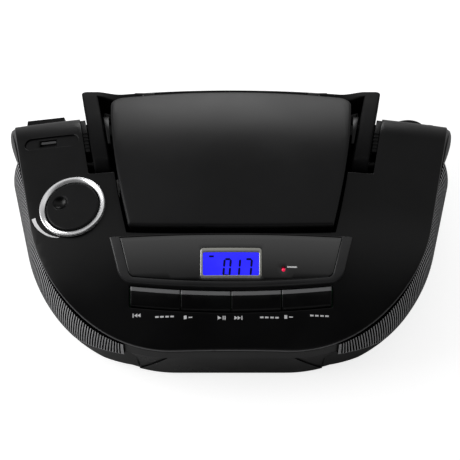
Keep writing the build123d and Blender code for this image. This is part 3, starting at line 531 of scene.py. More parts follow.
@dataclass(frozen=True)
class LidDome:
    """Upper surface of the lid: a side outline of one circle, crowned like the cover.

    `start`, `high` and `slope` are the place, height and angle of its front edge.
    """

    start: float = 71.5
    high: float = 100.5
    slope: float = 13.6
    radius: float = 189.0

    def at(self, out: float) -> Height:
        """Height function of the dome moved outward.

        Args:
            out: Distance by which it is moved.

        Returns:
            The function of the plan point.
        """
        a = math.radians(self.slope)
        mid = (self.start + self.radius * math.sin(a), self.high - self.radius * math.cos(a))

        def height(x: np.ndarray, s: np.ndarray) -> np.ndarray:
            """A circle in side view, then a circle about the cover's low axis."""
            side = mid[1] + np.sqrt((self.radius + out) ** 2 - (s - mid[0]) ** 2)
            return np.sqrt((side - COVER.axis) ** 2 - x**2) + COVER.axis

        return height


@dataclass(frozen=True)
class Plans:
    """Loops of the main parts seen from above.

    `flat` is half the nose's width, `corner` the radius of the front corners, `bow` the distance
    of the keys from the point about which they curve, and `flare` how fast the display's area
    widens. `lid_halves` holds the lid's half width in front, in the middle and behind.
    """

    flat: float = 39.0
    corner: float = 104.0
    splay: float = 12.5
    key_front: float = 21.0
    key_depth: float = 11.4
    key_half: float = 69.2
    key_play: float = 0.6
    bow: float = 551.0
    panel_run: Pair = (37.7, 68.0)
    panel_half: float = 69.5
    panel_round: float = 3.0
    lid_start: float = 71.5
    lid_length: float = 128.7
    lid_halves: Triple = (70.8, 83.6, 90.2)
    lid_bow: float = 900.0
    lid_round: float = 9.0
    flare: float = 0.235
    arm_start: float = 124.0
    arm_end: float = 212.0
    arm_inner: float = 85.6
    arm_width: float = 11.7
    arm_splay: float = 11.0

    def body(self, back: float, margin: float = 0.0) -> np.ndarray:
        """Flat nose, round corner, then a side that opens backward by the splay angle.

        Args:
            back: Where the sides end.
            margin: Distance by which the outline is smaller.

        Returns:
            The loop.
        """
        side = arc((self.flat, self.corner), self.corner - margin, -90, -self.splay, 48)
        tip = side[-1] + np.array([math.tan(math.radians(self.splay)), 1.0]) * (back - side[-1, 1])
        return closed(np.vstack([[0, margin], side, tip]))

    def lid(self, grow: float) -> np.ndarray:
        """Bowed front and back edges, and sides through three half widths; rear corners round.

        Args:
            grow: Distance by which the outline is larger.

        Returns:
            The loop.
        """
        f, m, b = (h + grow for h in self.lid_halves)
        dip = self.lid_halves[0] ** 2 / (2 * self.lid_bow)
        start, end = self.lid_start - grow, self.lid_start + self.lid_length + grow
        v, u = np.linspace(0, 1, 40), np.linspace(0, 1, 16)
        s0, s1 = start + dip, end - dip
        side = np.stack([f + (b - f) * v + 4 * (m - (f + b) / 2) * v * (1 - v), s0 + (s1 - s0) * v], axis=1)
        nose = np.stack([f * u, start + dip * u**2], axis=1)[:-1]
        tail = np.stack([b * u[::-1], end - dip * u[::-1] ** 2], axis=1)[1:]
        return eased(closed(np.vstack([nose, side, tail])), [(b, s1), (-b, s1)], self.lid_round)

    def strip(self, start: float, end: float, x0: float, x1: float) -> np.ndarray:
        """Piece of a ring about a point far behind: both long edges bow toward the front.

        Args:
            start: Front edge on the middle line.
            end: Rear edge on the middle line.
            x0: Left end.
            x1: Right end.

        Returns:
            The loop.
        """
        x = np.linspace(x0, x1, 2 + int((x1 - x0) / 3))
        centre = self.key_front + self.bow
        near, far = (np.stack([x, centre - np.sqrt((centre - s) ** 2 - x**2)], axis=1) for s in (start, end))
        return np.vstack([near, far[::-1]])

    def key_slot(self) -> np.ndarray:
        """Opening for the row of keys."""
        half, play = self.key_half + self.key_play, self.key_play
        return self.strip(self.key_front - play, self.key_front + self.key_depth + play, -half, half)

    def row(self, x: np.ndarray, s: np.ndarray) -> np.ndarray:
        """Distance behind the front rim, on the middle line, of the bowed line through a point."""
        centre = self.key_front + self.bow
        return centre - np.hypot(x, centre - s)

    def flared(self, start: float, end: float, half: float, grow: float, reach: float) -> np.ndarray:
        """Area that widens backward with a bowed front edge and round front corners.

        Args:
            start: Front edge on the middle line.
            end: Rear edge.
            half: Half width in front.
            grow: Distance by which the outline is larger.
            reach: Size of the round corners.

        Returns:
            The loop.
        """
        s, near, u = start - grow, half + grow, np.linspace(0, 1, 24)
        dip = near**2 / (2 * self.bow)
        nose = np.stack([near * u, s + dip * u**2], axis=1)
        back = np.stack([(near + (end - start) * self.flare) * u[::-1], np.full(24, end + grow)], axis=1)
        return eased(closed(np.vstack([nose, back])), [(near, s + dip), (-near, s + dip)], reach)

    def panel(self, grow: float) -> np.ndarray:
        """The glossy panel, grown by a distance."""
        return self.flared(*self.panel_run, self.panel_half, grow, self.panel_round)

    def arm_line(self, s: np.ndarray) -> np.ndarray:
        """Distance of a handle arm's inner side from the middle line."""
        return self.arm_inner + (s - self.arm_start) * math.tan(math.radians(self.arm_splay))

    def arm(self, out: float, inn: float, start: float, end: float, side: int) -> np.ndarray:
        """Slanted strip of a handle arm.

        Args:
            out: Distance by which it is grown outward.
            inn: Distance by which it is grown inward.
            start: Its front end.
            end: Its rear end.
            side: -1 for the left arm, 1 for the right one.

        Returns:
            The loop.
        """
        near, far = self.arm_line(start), self.arm_line(end)
        return placed(np.array([[near - inn, start], [near + self.arm_width + out, start],
                                [far + self.arm_width + out, end], [far - inn, end]]), side)


PLANS = Plans()


@dataclass(frozen=True)
class Wiring:
    """Adds nodes to a node tree and joins them."""

    tree: bpy.types.NodeTree

    def feed(self, node: bpy.types.Node, inputs: Mapping) -> None:
        """Sets the inputs of a node.

        Args:
            node: The node.
            inputs: A value or another node's output for each input, by name or number.
        """
        for label, value in inputs.items():
            if isinstance(value, bpy.types.NodeSocket):
                self.tree.links.new(value, node.inputs[label])
            else:
                node.inputs[label].default_value = value

    def node(self, kind: str, inputs: Mapping = {}, **settings: str) -> bpy.types.Node:
        """Makes a node.

        Args:
            kind: Its type, without the word that all shader nodes start with.
            inputs: What feed() is given.
            settings: Its options.

        Returns:
            The node.
        """
        made = self.tree.nodes.new("ShaderNode" + kind)
        for option, value in settings.items():
            setattr(made, option, value)
        self.feed(made, inputs)
        return made

    def math(self, operation: str, *terms: object) -> bpy.types.NodeSocket:
        """Output of a Math node on sockets or numbers."""
        return self.node("Math", dict(enumerate(terms)), operation=operation).outputs[0]

    def ramp(self, value: bpy.types.NodeSocket, start: float, end: float, low: float = 0.0,
             high: float = 1.0) -> bpy.types.NodeSocket:
        """Straight ramp of a value.

        Args:
            value: The value.
            start: Value at which the ramp starts.
            end: Value at which it ends.
            low: Result up to its start.
            high: Result past its end.

        Returns:
            The result's socket.
        """
        limits = {"Value": value, "From Min": start, "From Max": end, "To Min": low, "To Max": high}
        return self.node("MapRange", limits).outputs["Result"]

    def noise(self, vector: object, scale: object, detail: float = 2.0) -> bpy.types.NodeSocket:
        """Output of a Noise Texture node."""
        return self.node("TexNoise", {"Vector": vector, "Scale": scale, "Detail": detail}).outputs["Fac"]

    def mix(self, factor: object, a: object, b: object) -> bpy.types.NodeSocket:
        """Output of a Mix node on two colours."""
        return self.node("Mix", {"Factor": factor, "A": a, "B": b}, data_type="RGBA").outputs["Result"]


@dataclass(frozen=True)
class MouldedSurface:
    """Effect of a moulded or worked surface.

    Slow clouds mix the colour toward a second one and shift the roughness; fine grain raises a
    bump; sparse bright specks of dust lie where a fine noise passes a limit.
    """

    name: str = "Moulded surface"
    sockets: tuple[tuple[str, str, object], ...] = (
        ("Color", "Color", (0, 0, 0, 1)), ("Tint", "Color", (0, 0, 0, 1)), ("Roughness", "Float", 0.4),
        ("Spread", "Float", 0.1), ("Cloud Scale", "Float", 20.0), ("Grain Scale", "Float", 2000.0),
        ("Grain Height", "Float", 0.1), ("Dust", "Float", 0.2), ("Stretch", "Vector", (1, 1, 1)))
    cloud_detail: float = 5.0
    cloud_limits: Pair = (0.35, 0.65)
    dust_scale: float = 900.0
    dust_limits: Pair = (0.74, 0.8)
    dust_color: Quad = (0.35, 0.34, 0.33, 1)
    bump_distance: float = 0.0001

    def tree(self) -> bpy.types.NodeTree:
        """The effect as a node group.

        Returns:
            The group, built on first use.
        """
        if self.name in bpy.data.node_groups:
            return bpy.data.node_groups[self.name]
        tree = bpy.data.node_groups.new(self.name, "ShaderNodeTree")
        for label, kind, value in self.sockets:
            socket = tree.interface.new_socket(name=label, in_out="INPUT", socket_type="NodeSocket" + kind)
            socket.default_value = value
        for label, kind in (("Color", "Color"), ("Roughness", "Float"), ("Normal", "Vector")):
            tree.interface.new_socket(name=label, in_out="OUTPUT", socket_type="NodeSocket" + kind)
        entry, leave = tree.nodes.new("NodeGroupInput").outputs, tree.nodes.new("NodeGroupOutput")
        wires = Wiring(tree)
        place = wires.node("TexCoord").outputs["Object"]
        drawn = wires.node("VectorMath", {0: place, 1: entry["Stretch"]}, operation="MULTIPLY").outputs[0]
        clouds = wires.ramp(wires.noise(drawn, entry["Cloud Scale"], self.cloud_detail), *self.cloud_limits)
        grain = wires.noise(drawn, entry["Grain Scale"])
        specks = wires.ramp(wires.noise(place, self.dust_scale), *self.dust_limits)
        color = wires.mix(clouds, entry["Color"], entry["Tint"])
        bump = wires.node("Bump", {"Distance": self.bump_distance, "Strength": entry["Grain Height"],
                                   "Height": grain})
        wires.feed(leave, {
            "Color": wires.mix(wires.math("MULTIPLY", specks, entry["Dust"]), color, self.dust_color),
            "Roughness": wires.math("MULTIPLY_ADD", wires.math("SUBTRACT", clouds, 0.5), entry["Spread"],
                                    entry["Roughness"]),
            "Normal": bump.outputs["Normal"]})
        return tree


@dataclass(frozen=True)
class Finish:
    """One finish of the radio; colours are linear, sizes are in millimetres."""

    name: str
    color: Triple
    tint: Triple
    roughness: float
    spread: float = 0.08
    grain: float = 0.5
    grain_height: float = 0.12
    cloud: float = 40.0
    dust: float = 0.1
    metallic: float = 0.0
    specular: float = 0.5
    coat: float = 0.0
    coat_roughness: float = 0.12
    glow: float = 0.0
    stretch: Triple = (1.0, 1.0, 1.0)

    def material(self) -> bpy.types.Material:
        """The finish as a material.

        Returns:
            The material, built on first use.
        """
        if self.name in bpy.data.materials:
            return bpy.data.materials[self.name]
        material = bpy.data.materials.new(self.name)
        material.use_nodes = True
        shader, wires = material.node_tree.nodes["Principled BSDF"], Wiring(material.node_tree)
        detail = material.node_tree.nodes.new("ShaderNodeGroup")
        detail.node_tree = MouldedSurface().tree()
        wires.feed(detail, {
            "Color": (*self.color, 1), "Tint": (*self.tint, 1), "Roughness": self.roughness,
            "Spread": self.spread, "Cloud Scale": 1 / MILLIMETRE / self.cloud,
            "Grain Scale": 1 / MILLIMETRE / self.grain, "Grain Height": self.grain_height,
            "Dust": self.dust, "Stretch": self.stretch})
        made = detail.outputs
        wires.feed(shader, {
            "Base Color": made["Color"], "Roughness": made["Roughness"], "Normal": made["Normal"],
            "Metallic": self.metallic, "Specular IOR Level": self.specular, "Coat Weight": self.coat,
            "Coat Roughness": self.coat_roughness})
        if self.glow:
            wires.feed(shader, {"Emission Color": made["Color"], "Emission Strength": self.glow})
        return material


class Finishes(Enum):
    """The finishes that the radio's pieces are made in."""

    COVER = Finish("Black cover plastic", (0.002, 0.002, 0.0022), (0.0034, 0.0034, 0.0037), 0.33, dust=0.03,
                   cloud=60, specular=0.19)
    LID = Finish("Lid plastic", (0.0085, 0.0085, 0.0088), (0.0115, 0.0115, 0.0119), 0.36, dust=0.03, cloud=70,
                 specular=0.12)
    HANDLE = Finish("Handle plastic", (0.0025, 0.0025, 0.0027), (0.004, 0.004, 0.0043), 0.6, dust=0.05,
                    cloud=30, specular=0.05)
    SHELL = Finish("Dark shell plastic", (0.002, 0.002, 0.0022), (0.0035, 0.0035, 0.0037), 0.5,
                   grain_height=0.25, specular=0.12)
    # the ribs' own grey made lighter as painted light, so they show under the dim front light
    RIB_PAINTED_LIGHT = Finish("Grille rib plastic, painted light", (0.36, 0.36, 0.37), (0.44, 0.44, 0.45), 0.42, grain_height=0.15)
    SIDE = Finish("Side panel plastic", (0.035, 0.035, 0.036), (0.05, 0.05, 0.052), 0.4, grain_height=0.15)
    # near-black painted shade for the grille's grooves and edges
    GROOVE_SHADE = Finish("Painted groove shade", (0.0004, 0.0004, 0.0004), (0.0008, 0.0008, 0.0008), 0.9, dust=0.0,
                 specular=0.02)
    TRIM = Finish("Grey trim plastic", (0.016, 0.016, 0.0165), (0.022, 0.022, 0.023), 0.4, specular=0.35)
    BEZEL = Finish("Bezel plastic", (0.014, 0.014, 0.0145), (0.018, 0.018, 0.019), 0.33, specular=0.4)
    PANEL = Finish("Glossy panel", (0.001, 0.001, 0.0011), (0.0016, 0.0016, 0.0018), 0.18, dust=0.03,
                   grain_height=0.02, coat=0.9)
    KEY = Finish("Key plastic", (0.0012, 0.0012, 0.0013), (0.002, 0.002, 0.0022), 0.3, dust=0.03,
                 grain_height=0.05, specular=0.2)
    # light grey painted highlight for the keys' rear bevels and the rim strip
    PAINTED_HIGHLIGHT = Finish("Painted highlight grey", (0.11, 0.11, 0.113), (0.13, 0.13, 0.134), 0.3, dust=0.03)
    SILVER = Finish("Satin silver", (0.34, 0.34, 0.31), (0.4, 0.4, 0.37), 0.34, metallic=0.7, grain=0.3)
    CHROME = Finish("Chromed ring", (0.88, 0.88, 0.89), (0.93, 0.93, 0.94), 0.24, grain_height=0.03,
                    metallic=0.8)
    KNOB = Finish("Knob rubber", (0.003, 0.003, 0.0033), (0.005, 0.005, 0.0054), 0.45, grain_height=0.3,
                  specular=0.15)
    SCREEN = Finish("Lit window", (0.018, 0.016, 0.9), (0.022, 0.02, 0.95), 0.35, dust=0.0, glow=0.85,
                    cloud=12, specular=0.2)
    DIGIT = Finish("Display digits", (0.002, 0.002, 0.05), (0.003, 0.003, 0.07), 0.5, dust=0.0,
                   grain_height=0.0, specular=0.1)
    LAMP = Finish("Power lamp", (0.7, 0.004, 0.05), (0.8, 0.008, 0.07), 0.2, dust=0.0, glow=0.7, cloud=2)
    PRINT = Finish("Printed marks", (0.72, 0.72, 0.73), (0.8, 0.8, 0.81), 0.6, dust=0.0)
    LIGHT = Finish("Light plastic", (0.55, 0.55, 0.55), (0.62, 0.62, 0.61), 0.4)
    STEEL = Finish("Plain steel", (0.5, 0.5, 0.5), (0.56, 0.56, 0.55), 0.32, metallic=1.0, stretch=(1, 12, 1))
    BOARD = Finish("Circuit board", (0.02, 0.11, 0.04), (0.03, 0.15, 0.06), 0.4)
    CONE = Finish("Speaker cone", (0.012, 0.012, 0.012), (0.02, 0.02, 0.02), 0.8, grain_height=0.6)
    MAGNET = Finish("Dark ferrite", (0.05, 0.05, 0.05), (0.07, 0.07, 0.07), 0.6, grain_height=0.4)
    CONTACT = Finish("Plated contact", (0.65, 0.5, 0.25), (0.7, 0.56, 0.3), 0.25, metallic=1.0)
    LENS = Finish("Coated lens", (0.1, 0.04, 0.16), (0.14, 0.06, 0.22), 0.06, grain_height=0.0, coat=1.0)
    RUBBER = Finish("Foot rubber", (0.02, 0.02, 0.02), (0.03, 0.03, 0.03), 0.8, grain_height=0.5)
    DECK = Finish("Deck plastic", (0.0018, 0.0018, 0.002), (0.003, 0.003, 0.0032), 0.6, grain_height=0.2,
                  specular=0.12)


@dataclass
class CabinetTop:
    """The crowned cover with wings, its openings, and what lines them.

    `channel_room` is what a handle channel leaves outboard and inboard of the arm, and `nook` the
    room inboard of the arm's nose, with its rear end. A run is where something starts and ends.
    `fairing_turn` holds the angles between which a fairing goes round the corner, `fairing_reach`
    its radius and how much less that is in front, and `fairing_levels` its foot and the least and
    greatest height of its upper edge.
    """

    thickness: float = 1.5
    edge: float = 0.6
    back: float = 184.3
    roll_start: float = 156.5
    wing_start: float = 100.0
    wing_floor: float = 60.0
    lid_gap: float = 1.5
    knob_hole: float = 20.8
    usb: Pair = (-130.8, 152.0)
    usb_size: Pair = (39.5, 9.5)
    usb_depth: float = 1.2
    port: Pair = (13.4, 5.9)
    port_shift: float = -2.6
    channel_room: Pair = (4.6, 1.2)
    channel_run: Pair = (121.6, 184.2)
    channel_cut: float = 213.0
    channel_floor: Pair = (61.0, 63.0)
    lining: float = 2.0
    nook: Pair = (5.0, 146.0)
    ledge_run: Pair = (141.0, 183.5)
    ledge_gap: float = 0.7
    ribs: tuple[float, ...] = (144.7, 147.7, 151.0, 154.1, 157.3)
    rib_half: Pair = (1.9, 0.55)
    rib_room: float = 2.6
    shoulder_levels: Pair = (24.0, 54.0)
    cheek_start: float = 139.6
    cheek_length: float = 46.0
    cheek_low: float = 16.0
    cheek_grown: float = 0.7
    cheek_wall: float = 1.6
    swell: float = 5.4
    fairing_turn: Pair = (13.0, 62.0)
    fairing_reach: Pair = (100.6, 2.4)
    fairing_flare: float = 0.09
    fairing_levels: Triple = (7.0, 10.0, 36.0)
    fairing_gap: float = 1.0
    fairing_wall: float = 5.0

    def stadium(self, grow: float) -> np.ndarray:
        """Outline of the port's recess: two half circles and straight runs between them.

        Args:
            grow: Distance by which it is larger.

        Returns:
            The loop.
        """
        half, r = (size / 2 + grow for size in self.usb_size)
        x, s = self.usb
        return np.vstack([arc((x + half - r, s), r, -90, 90, 20), arc((x - half + r, s), r, 90, 270, 20)])

    def nose_room(self, side: int) -> np.ndarray:
        """Loop of the room for the round nose of an arm."""
        return PLANS.arm(0.0, self.nook[0], self.channel_run[0], self.nook[1], side)

    def openings(self) -> list[np.ndarray]:
        """Everything that is cut out of the cover.

        Returns:
            A loop for each opening.
        """
        cuts = [PLANS.lid(self.lid_gap), PLANS.panel(-3), PLANS.key_slot(),
                arc(KNOB_PLACE, self.knob_hole, 0, 355, 72), self.stadium(0)]
        for side, _ in SIDES:
            cuts += [PLANS.arm(*self.channel_room, self.channel_run[0], self.channel_cut, side),
                     self.nose_room(side)]
        return cuts

    def bottom(self, x: np.ndarray, s: np.ndarray) -> np.ndarray:
        """Inside of the cover, level at the wings' rear edge."""
        height = COVER.height(x, s, -self.thickness)
        return np.where(s > self.wing_start, np.maximum(height, self.wing_floor), height)

    def skin(self) -> Shell:
        """The cover itself, with rows at even steps and then at even angles of the roll-off.

        Returns:
            The cover.
        """
        bend = np.radians(np.arange(0, 88, 6.0))
        rows = np.concatenate([np.arange(2, 154, 4.0), self.roll_start + COVER.roll * np.sin(bend)])
        return plate([PLANS.body(self.back)], self.openings(), COVER.at(0), self.bottom, self.edge, rows=rows)

    def channel(self, side: int) -> Shell:
        """Floor and walls of a handle channel, and the ledge outboard of the arm.

        Args:
            side: -1 for the left channel, 1 for the right one.

        Returns:
            The three in one.
        """
        (out, inn), (start, end), wall = self.channel_room, self.channel_run, self.lining
        around = PLANS.arm(out + wall, inn + wall, start - wall, end, side)
        room = [PLANS.arm(out, inn, start, end, side), PLANS.lid(self.lid_gap), self.nose_room(side)]
        low, high = self.channel_floor
        floor = plate([around], [], level(high), level(low), 0.2, *COARSE)
        walls = plate([around], room, COVER.at(-1.2), level((low + high) / 2), 0.1, *COARSE)
        ledge = PLANS.arm(out, -PLANS.arm_width - self.ledge_gap, *self.ledge_run, side)
        return floor + walls + plate([ledge], [], COVER.at(-1.1), COVER.at(-14), 0.5, step=3.0, edge=1.5)

    def click_ribs(self, side: int) -> Shell:
        """Five short cross ribs on the ledge beside the arm.

        Args:
            side: -1 for the left ledge, 1 for the right one.

        Returns:
            The ribs in one.
        """
        half, deep = self.rib_half
        box, out = rectangle(-half, half, -deep, deep), PLANS.arm_width + self.rib_room
        return joined([slab(box, -1.6, -0.6, *COVER.frame(side * (PLANS.arm_line(place) + out), place), 0.25)
                       for place in self.ribs])

    def recess(self) -> Shell:
        """Sunk floor round the port, with the port's opening.

        Returns:
            The floor.
        """
        x, s = self.usb[0] + self.port_shift, self.usb[1]
        w, h = (size / 2 for size in self.port)
        return plate([self.stadium(0.3)], [rectangle(x - w, x + w, s - h, s + h)], COVER.at(-self.usb_depth),
                     COVER.at(-self.usb_depth - 2.0), 0.25, *FINE)

    def shoulder(self, side: int) -> Shell:
        """Low block that fills the corner between the tail, the wing and the handle arm.

        Args:
            side: -1 for the left corner, 1 for the right one.

        Returns:
            The block.
        """
        block = np.array([[97.5, 181.0], [107.5, 181.0], [110.0, 203.0], [108.0, 210.0], [97.5, 210.0]])
        low, high = self.shoulder_levels
        return plate([placed(block, side)], [], level(high), level(low), 1.5, edge=2.0)

    def cheek(self) -> Shell:
        """Rounded side panel behind the left grille.

        It stands out by the root of a sine of its height, and grows backward by 3g^2 - 2g^3.

        Returns:
            The panel.
        """
        along, up = np.linspace(0, 1, 36), np.linspace(0, 1, 18)[:, None]
        s = np.repeat(self.cheek_start + self.cheek_length * along[None, :], len(up), axis=0)
        splay = math.radians(PLANS.splay)
        edge = PLANS.flat + PLANS.corner * math.cos(splay)
        x = -(edge + (s - PLANS.corner + PLANS.corner * math.sin(splay)) * math.tan(splay))
        z = self.cheek_low + (COVER.height(x, s, -1.0) - self.cheek_low) * up
        grow = np.clip(along / self.cheek_grown, 0, 1)
        swell = self.swell * np.sin(np.pi * up**1.7) ** 0.5 * grow * grow * (3 - 2 * grow)
        return double_skin(np.stack([x - swell, s, z], axis=2), np.stack([x + self.cheek_wall, s, z], axis=2))

    def fairing(self) -> Shell:
        """Black skin below the left grille, from the plinth round the corner, a little wider upward.

        Its upper edge falls with the grille's, and its foot is rounded by a square of the height.

        Returns:
            The skin.
        """
        turn = np.linspace(*self.fairing_turn, 40)
        angle, (x, s), (foot, low, high) = np.radians(turn), Grille.centre, self.fairing_levels
        reach = self.fairing_reach[0] - self.fairing_reach[1] * np.clip((28 - turn) / 15, 0, 1)
        lip_s, lip_z = Grille.lip
        top = np.clip(lip_z + self.fairing_gap - Grille.fall * (s - reach * np.cos(angle) - lip_s), low, high)
        z = foot + (top - foot) * np.linspace(0, 1, 12)[:, None]
        wide = reach + self.fairing_flare * (z - 8) - 1.2 * (np.clip(10 - z, 0, 3) / 3) ** 2
        return double_skin(*(np.stack([x - r * np.sin(angle), s - r * np.cos(angle), z], axis=2)
                             for r in (wide, wide - self.fairing_wall)))

    def bead(self) -> Shell:
        """Thin strip under the cover's edge in light grey, a painted highlight along the rim."""
        return plate([PLANS.body(self.back, -0.35)], [PLANS.body(self.back - 0.5, 1.0)], COVER.at(-0.8),
                     COVER.at(-1.5), 0.2, step=6.0, edge=2.5)

    def seat(self) -> Shell:
        """Cup under the volume knob."""
        profile = [[ON_AXIS, -12], [22.8, -12], [22.8, -1.4], [20.8, -1.4], [20.8, -10], [ON_AXIS, -10]]
        return turned(profile, *COVER.frame(*KNOB_PLACE))

    def build(self) -> None:
        """Makes the cover and its linings."""
        put("cover_skin", self.skin(), [Finishes.COVER], "cabinet", stands_for=["upper_cabinet"])
        put("knob_seat", self.seat(), [Finishes.SHELL], "cabinet")
        put("port_recess", self.recess(), [Finishes.COVER], "cabinet")
        for side, name in SIDES:
            for piece, shell, finish in (("handle_channel", self.channel(side), Finishes.SHELL),
                                         ("click_ribs", self.click_ribs(side), Finishes.KEY),
                                         ("shoulder", self.shoulder(side), Finishes.SHELL),
                                         ("cheek", self.cheek().on(side), Finishes.SIDE),
                                         ("fairing", self.fairing().on(side), Finishes.KEY)):
                put(f"{name}_{piece}", shell, [finish], "cabinet")
        # the rim strip's light grey is a painted highlight along the rim
        put("rim_highlight_strip", self.bead(), [Finishes.PAINTED_HIGHLIGHT], "cabinet")


@dataclass
class Lid:
    """The domed lid with its hinge knuckles."""

    thickness: float = 3.0
    edge: float = 2.0
    hinge: Pair = (200.9, 79.5)
    barrel: float = 2.5
    bore: float = 1.3
    place: float = 62.0
    length: float = 8.0
    web: float = 7.0

    def knuckle(self, x: float) -> Shell:
        """Round barrel on the hinge line with a web up to the lid.

        Args:
            x: Its place across the lid.

        Returns:
            The barrel and the web in one.
        """
        half, origin = self.length / 2, np.array([x, *self.hinge])
        profile = [[self.bore, -half], [self.barrel, -half], [self.barrel, half], [self.bore, half]]
        barrel = turned(profile, origin, np.array([[0.0, 1, 0], [0, 0, 1], [1, 0, 0]]), 32)
        return barrel + slab(rectangle(-half, half, -self.web, 0.0), 0.0, self.barrel, origin, np.eye(3))

    def build(self) -> None:
        """Makes the lid."""
        dome = LidDome()
        skin = plate([PLANS.lid(0)], [], dome.at(0), dome.at(-self.thickness), self.edge)
        shell = skin + self.knuckle(-self.place) + self.knuckle(self.place)
        put("disc_lid", shell, [Finishes.LID], "lid", stands_for=["cd_lid"])


@dataclass
class Handle:
    """Two arms with round noses and the crowned cross grip.

    `pivot` is (s, z) of the hinge line. `radius`, `high` and `slope` belong to the arc of an arm's
    top, and `blend` holds where the grip starts to go over into an arm and over what width.
    """

    pivot: Pair = (133.0, 84.787)
    nose: float = 9.0
    radius: float = 142.0
    depth: float = 18.0
    high: float = 93.0
    slope: float = 5.0
    grip_width: float = 8.5
    grip_top: float = 74.0
    grip_depth: float = 19.0
    grip_end: float = 216.0
    blend: Pair = (82.0, 20.0)
    rear_round: float = 4.5
    edge: float = 1.6

    def side_arc(self, s: np.ndarray, drop: float) -> np.ndarray:
        """Height of the arm's arc in side view.

        Args:
            s: Distances behind the front rim.
            drop: Distance by which the arc is moved inward.

        Returns:
            One height for each distance.
        """
        a = math.radians(self.slope)
        mid = (PLANS.arm_start + self.radius * math.sin(a), self.high - self.radius * math.cos(a))
        return mid[1] + np.sqrt((self.radius - drop) ** 2 - (s - mid[0]) ** 2)

    def surface(self, upper: bool) -> Height:
        """Top or underside: a circle at the nose, the arc along the arms, the crown on the grip.

        From the grip to an arm the height goes over by 3b^2 - 2b^3.

        Args:
            upper: True for the top, False for the underside.

        Returns:
            Its height function.
        """
        sign, depth, grip_depth = (1, 0.0, 0.0) if upper else (-1, self.depth, self.grip_depth)

        def height(x: np.ndarray, s: np.ndarray) -> np.ndarray:
            """Height over the plan.

            Args:
                x: Places across the body.
                s: Places behind the front rim.

            Returns:
                One height for each place.
            """
            nose = self.pivot[1] + sign * np.sqrt(np.maximum(self.nose**2 - (s - self.pivot[0]) ** 2, 0))
            arm = np.where(s < self.pivot[0], nose, self.side_arc(s, depth))
            grip = np.sqrt((self.grip_top - grip_depth - COVER.axis) ** 2 - x**2) + COVER.axis
            share = np.clip((np.abs(x) - self.blend[0]) / self.blend[1], 0, 1)
            across = grip + (arm - grip) * (share * share * (3 - 2 * share))
            return np.where(s > PLANS.arm_end - self.grip_width - 0.01, across, arm)

        return height

    def build(self) -> None:
        """Makes the handle."""
        arms = [PLANS.arm(0, 0, PLANS.arm_start, PLANS.arm_end, side) for side, _ in SIDES]
        arms = [eased(arm, [arm[np.argmax(np.abs(arm[:, 0]))]], self.rear_round) for arm in arms]
        reach = PLANS.arm_line(self.grip_end)
        grip = rectangle(-reach, reach, PLANS.arm_end - self.grip_width, PLANS.arm_end)
        shell = plate([*arms, grip], [], self.surface(True), self.surface(False), self.edge, step=2.5,
                      edge=1.0, under=True)
        put("carrying_handle", shell, [Finishes.HANDLE], "carrying_handle", stands_for=["handle"])


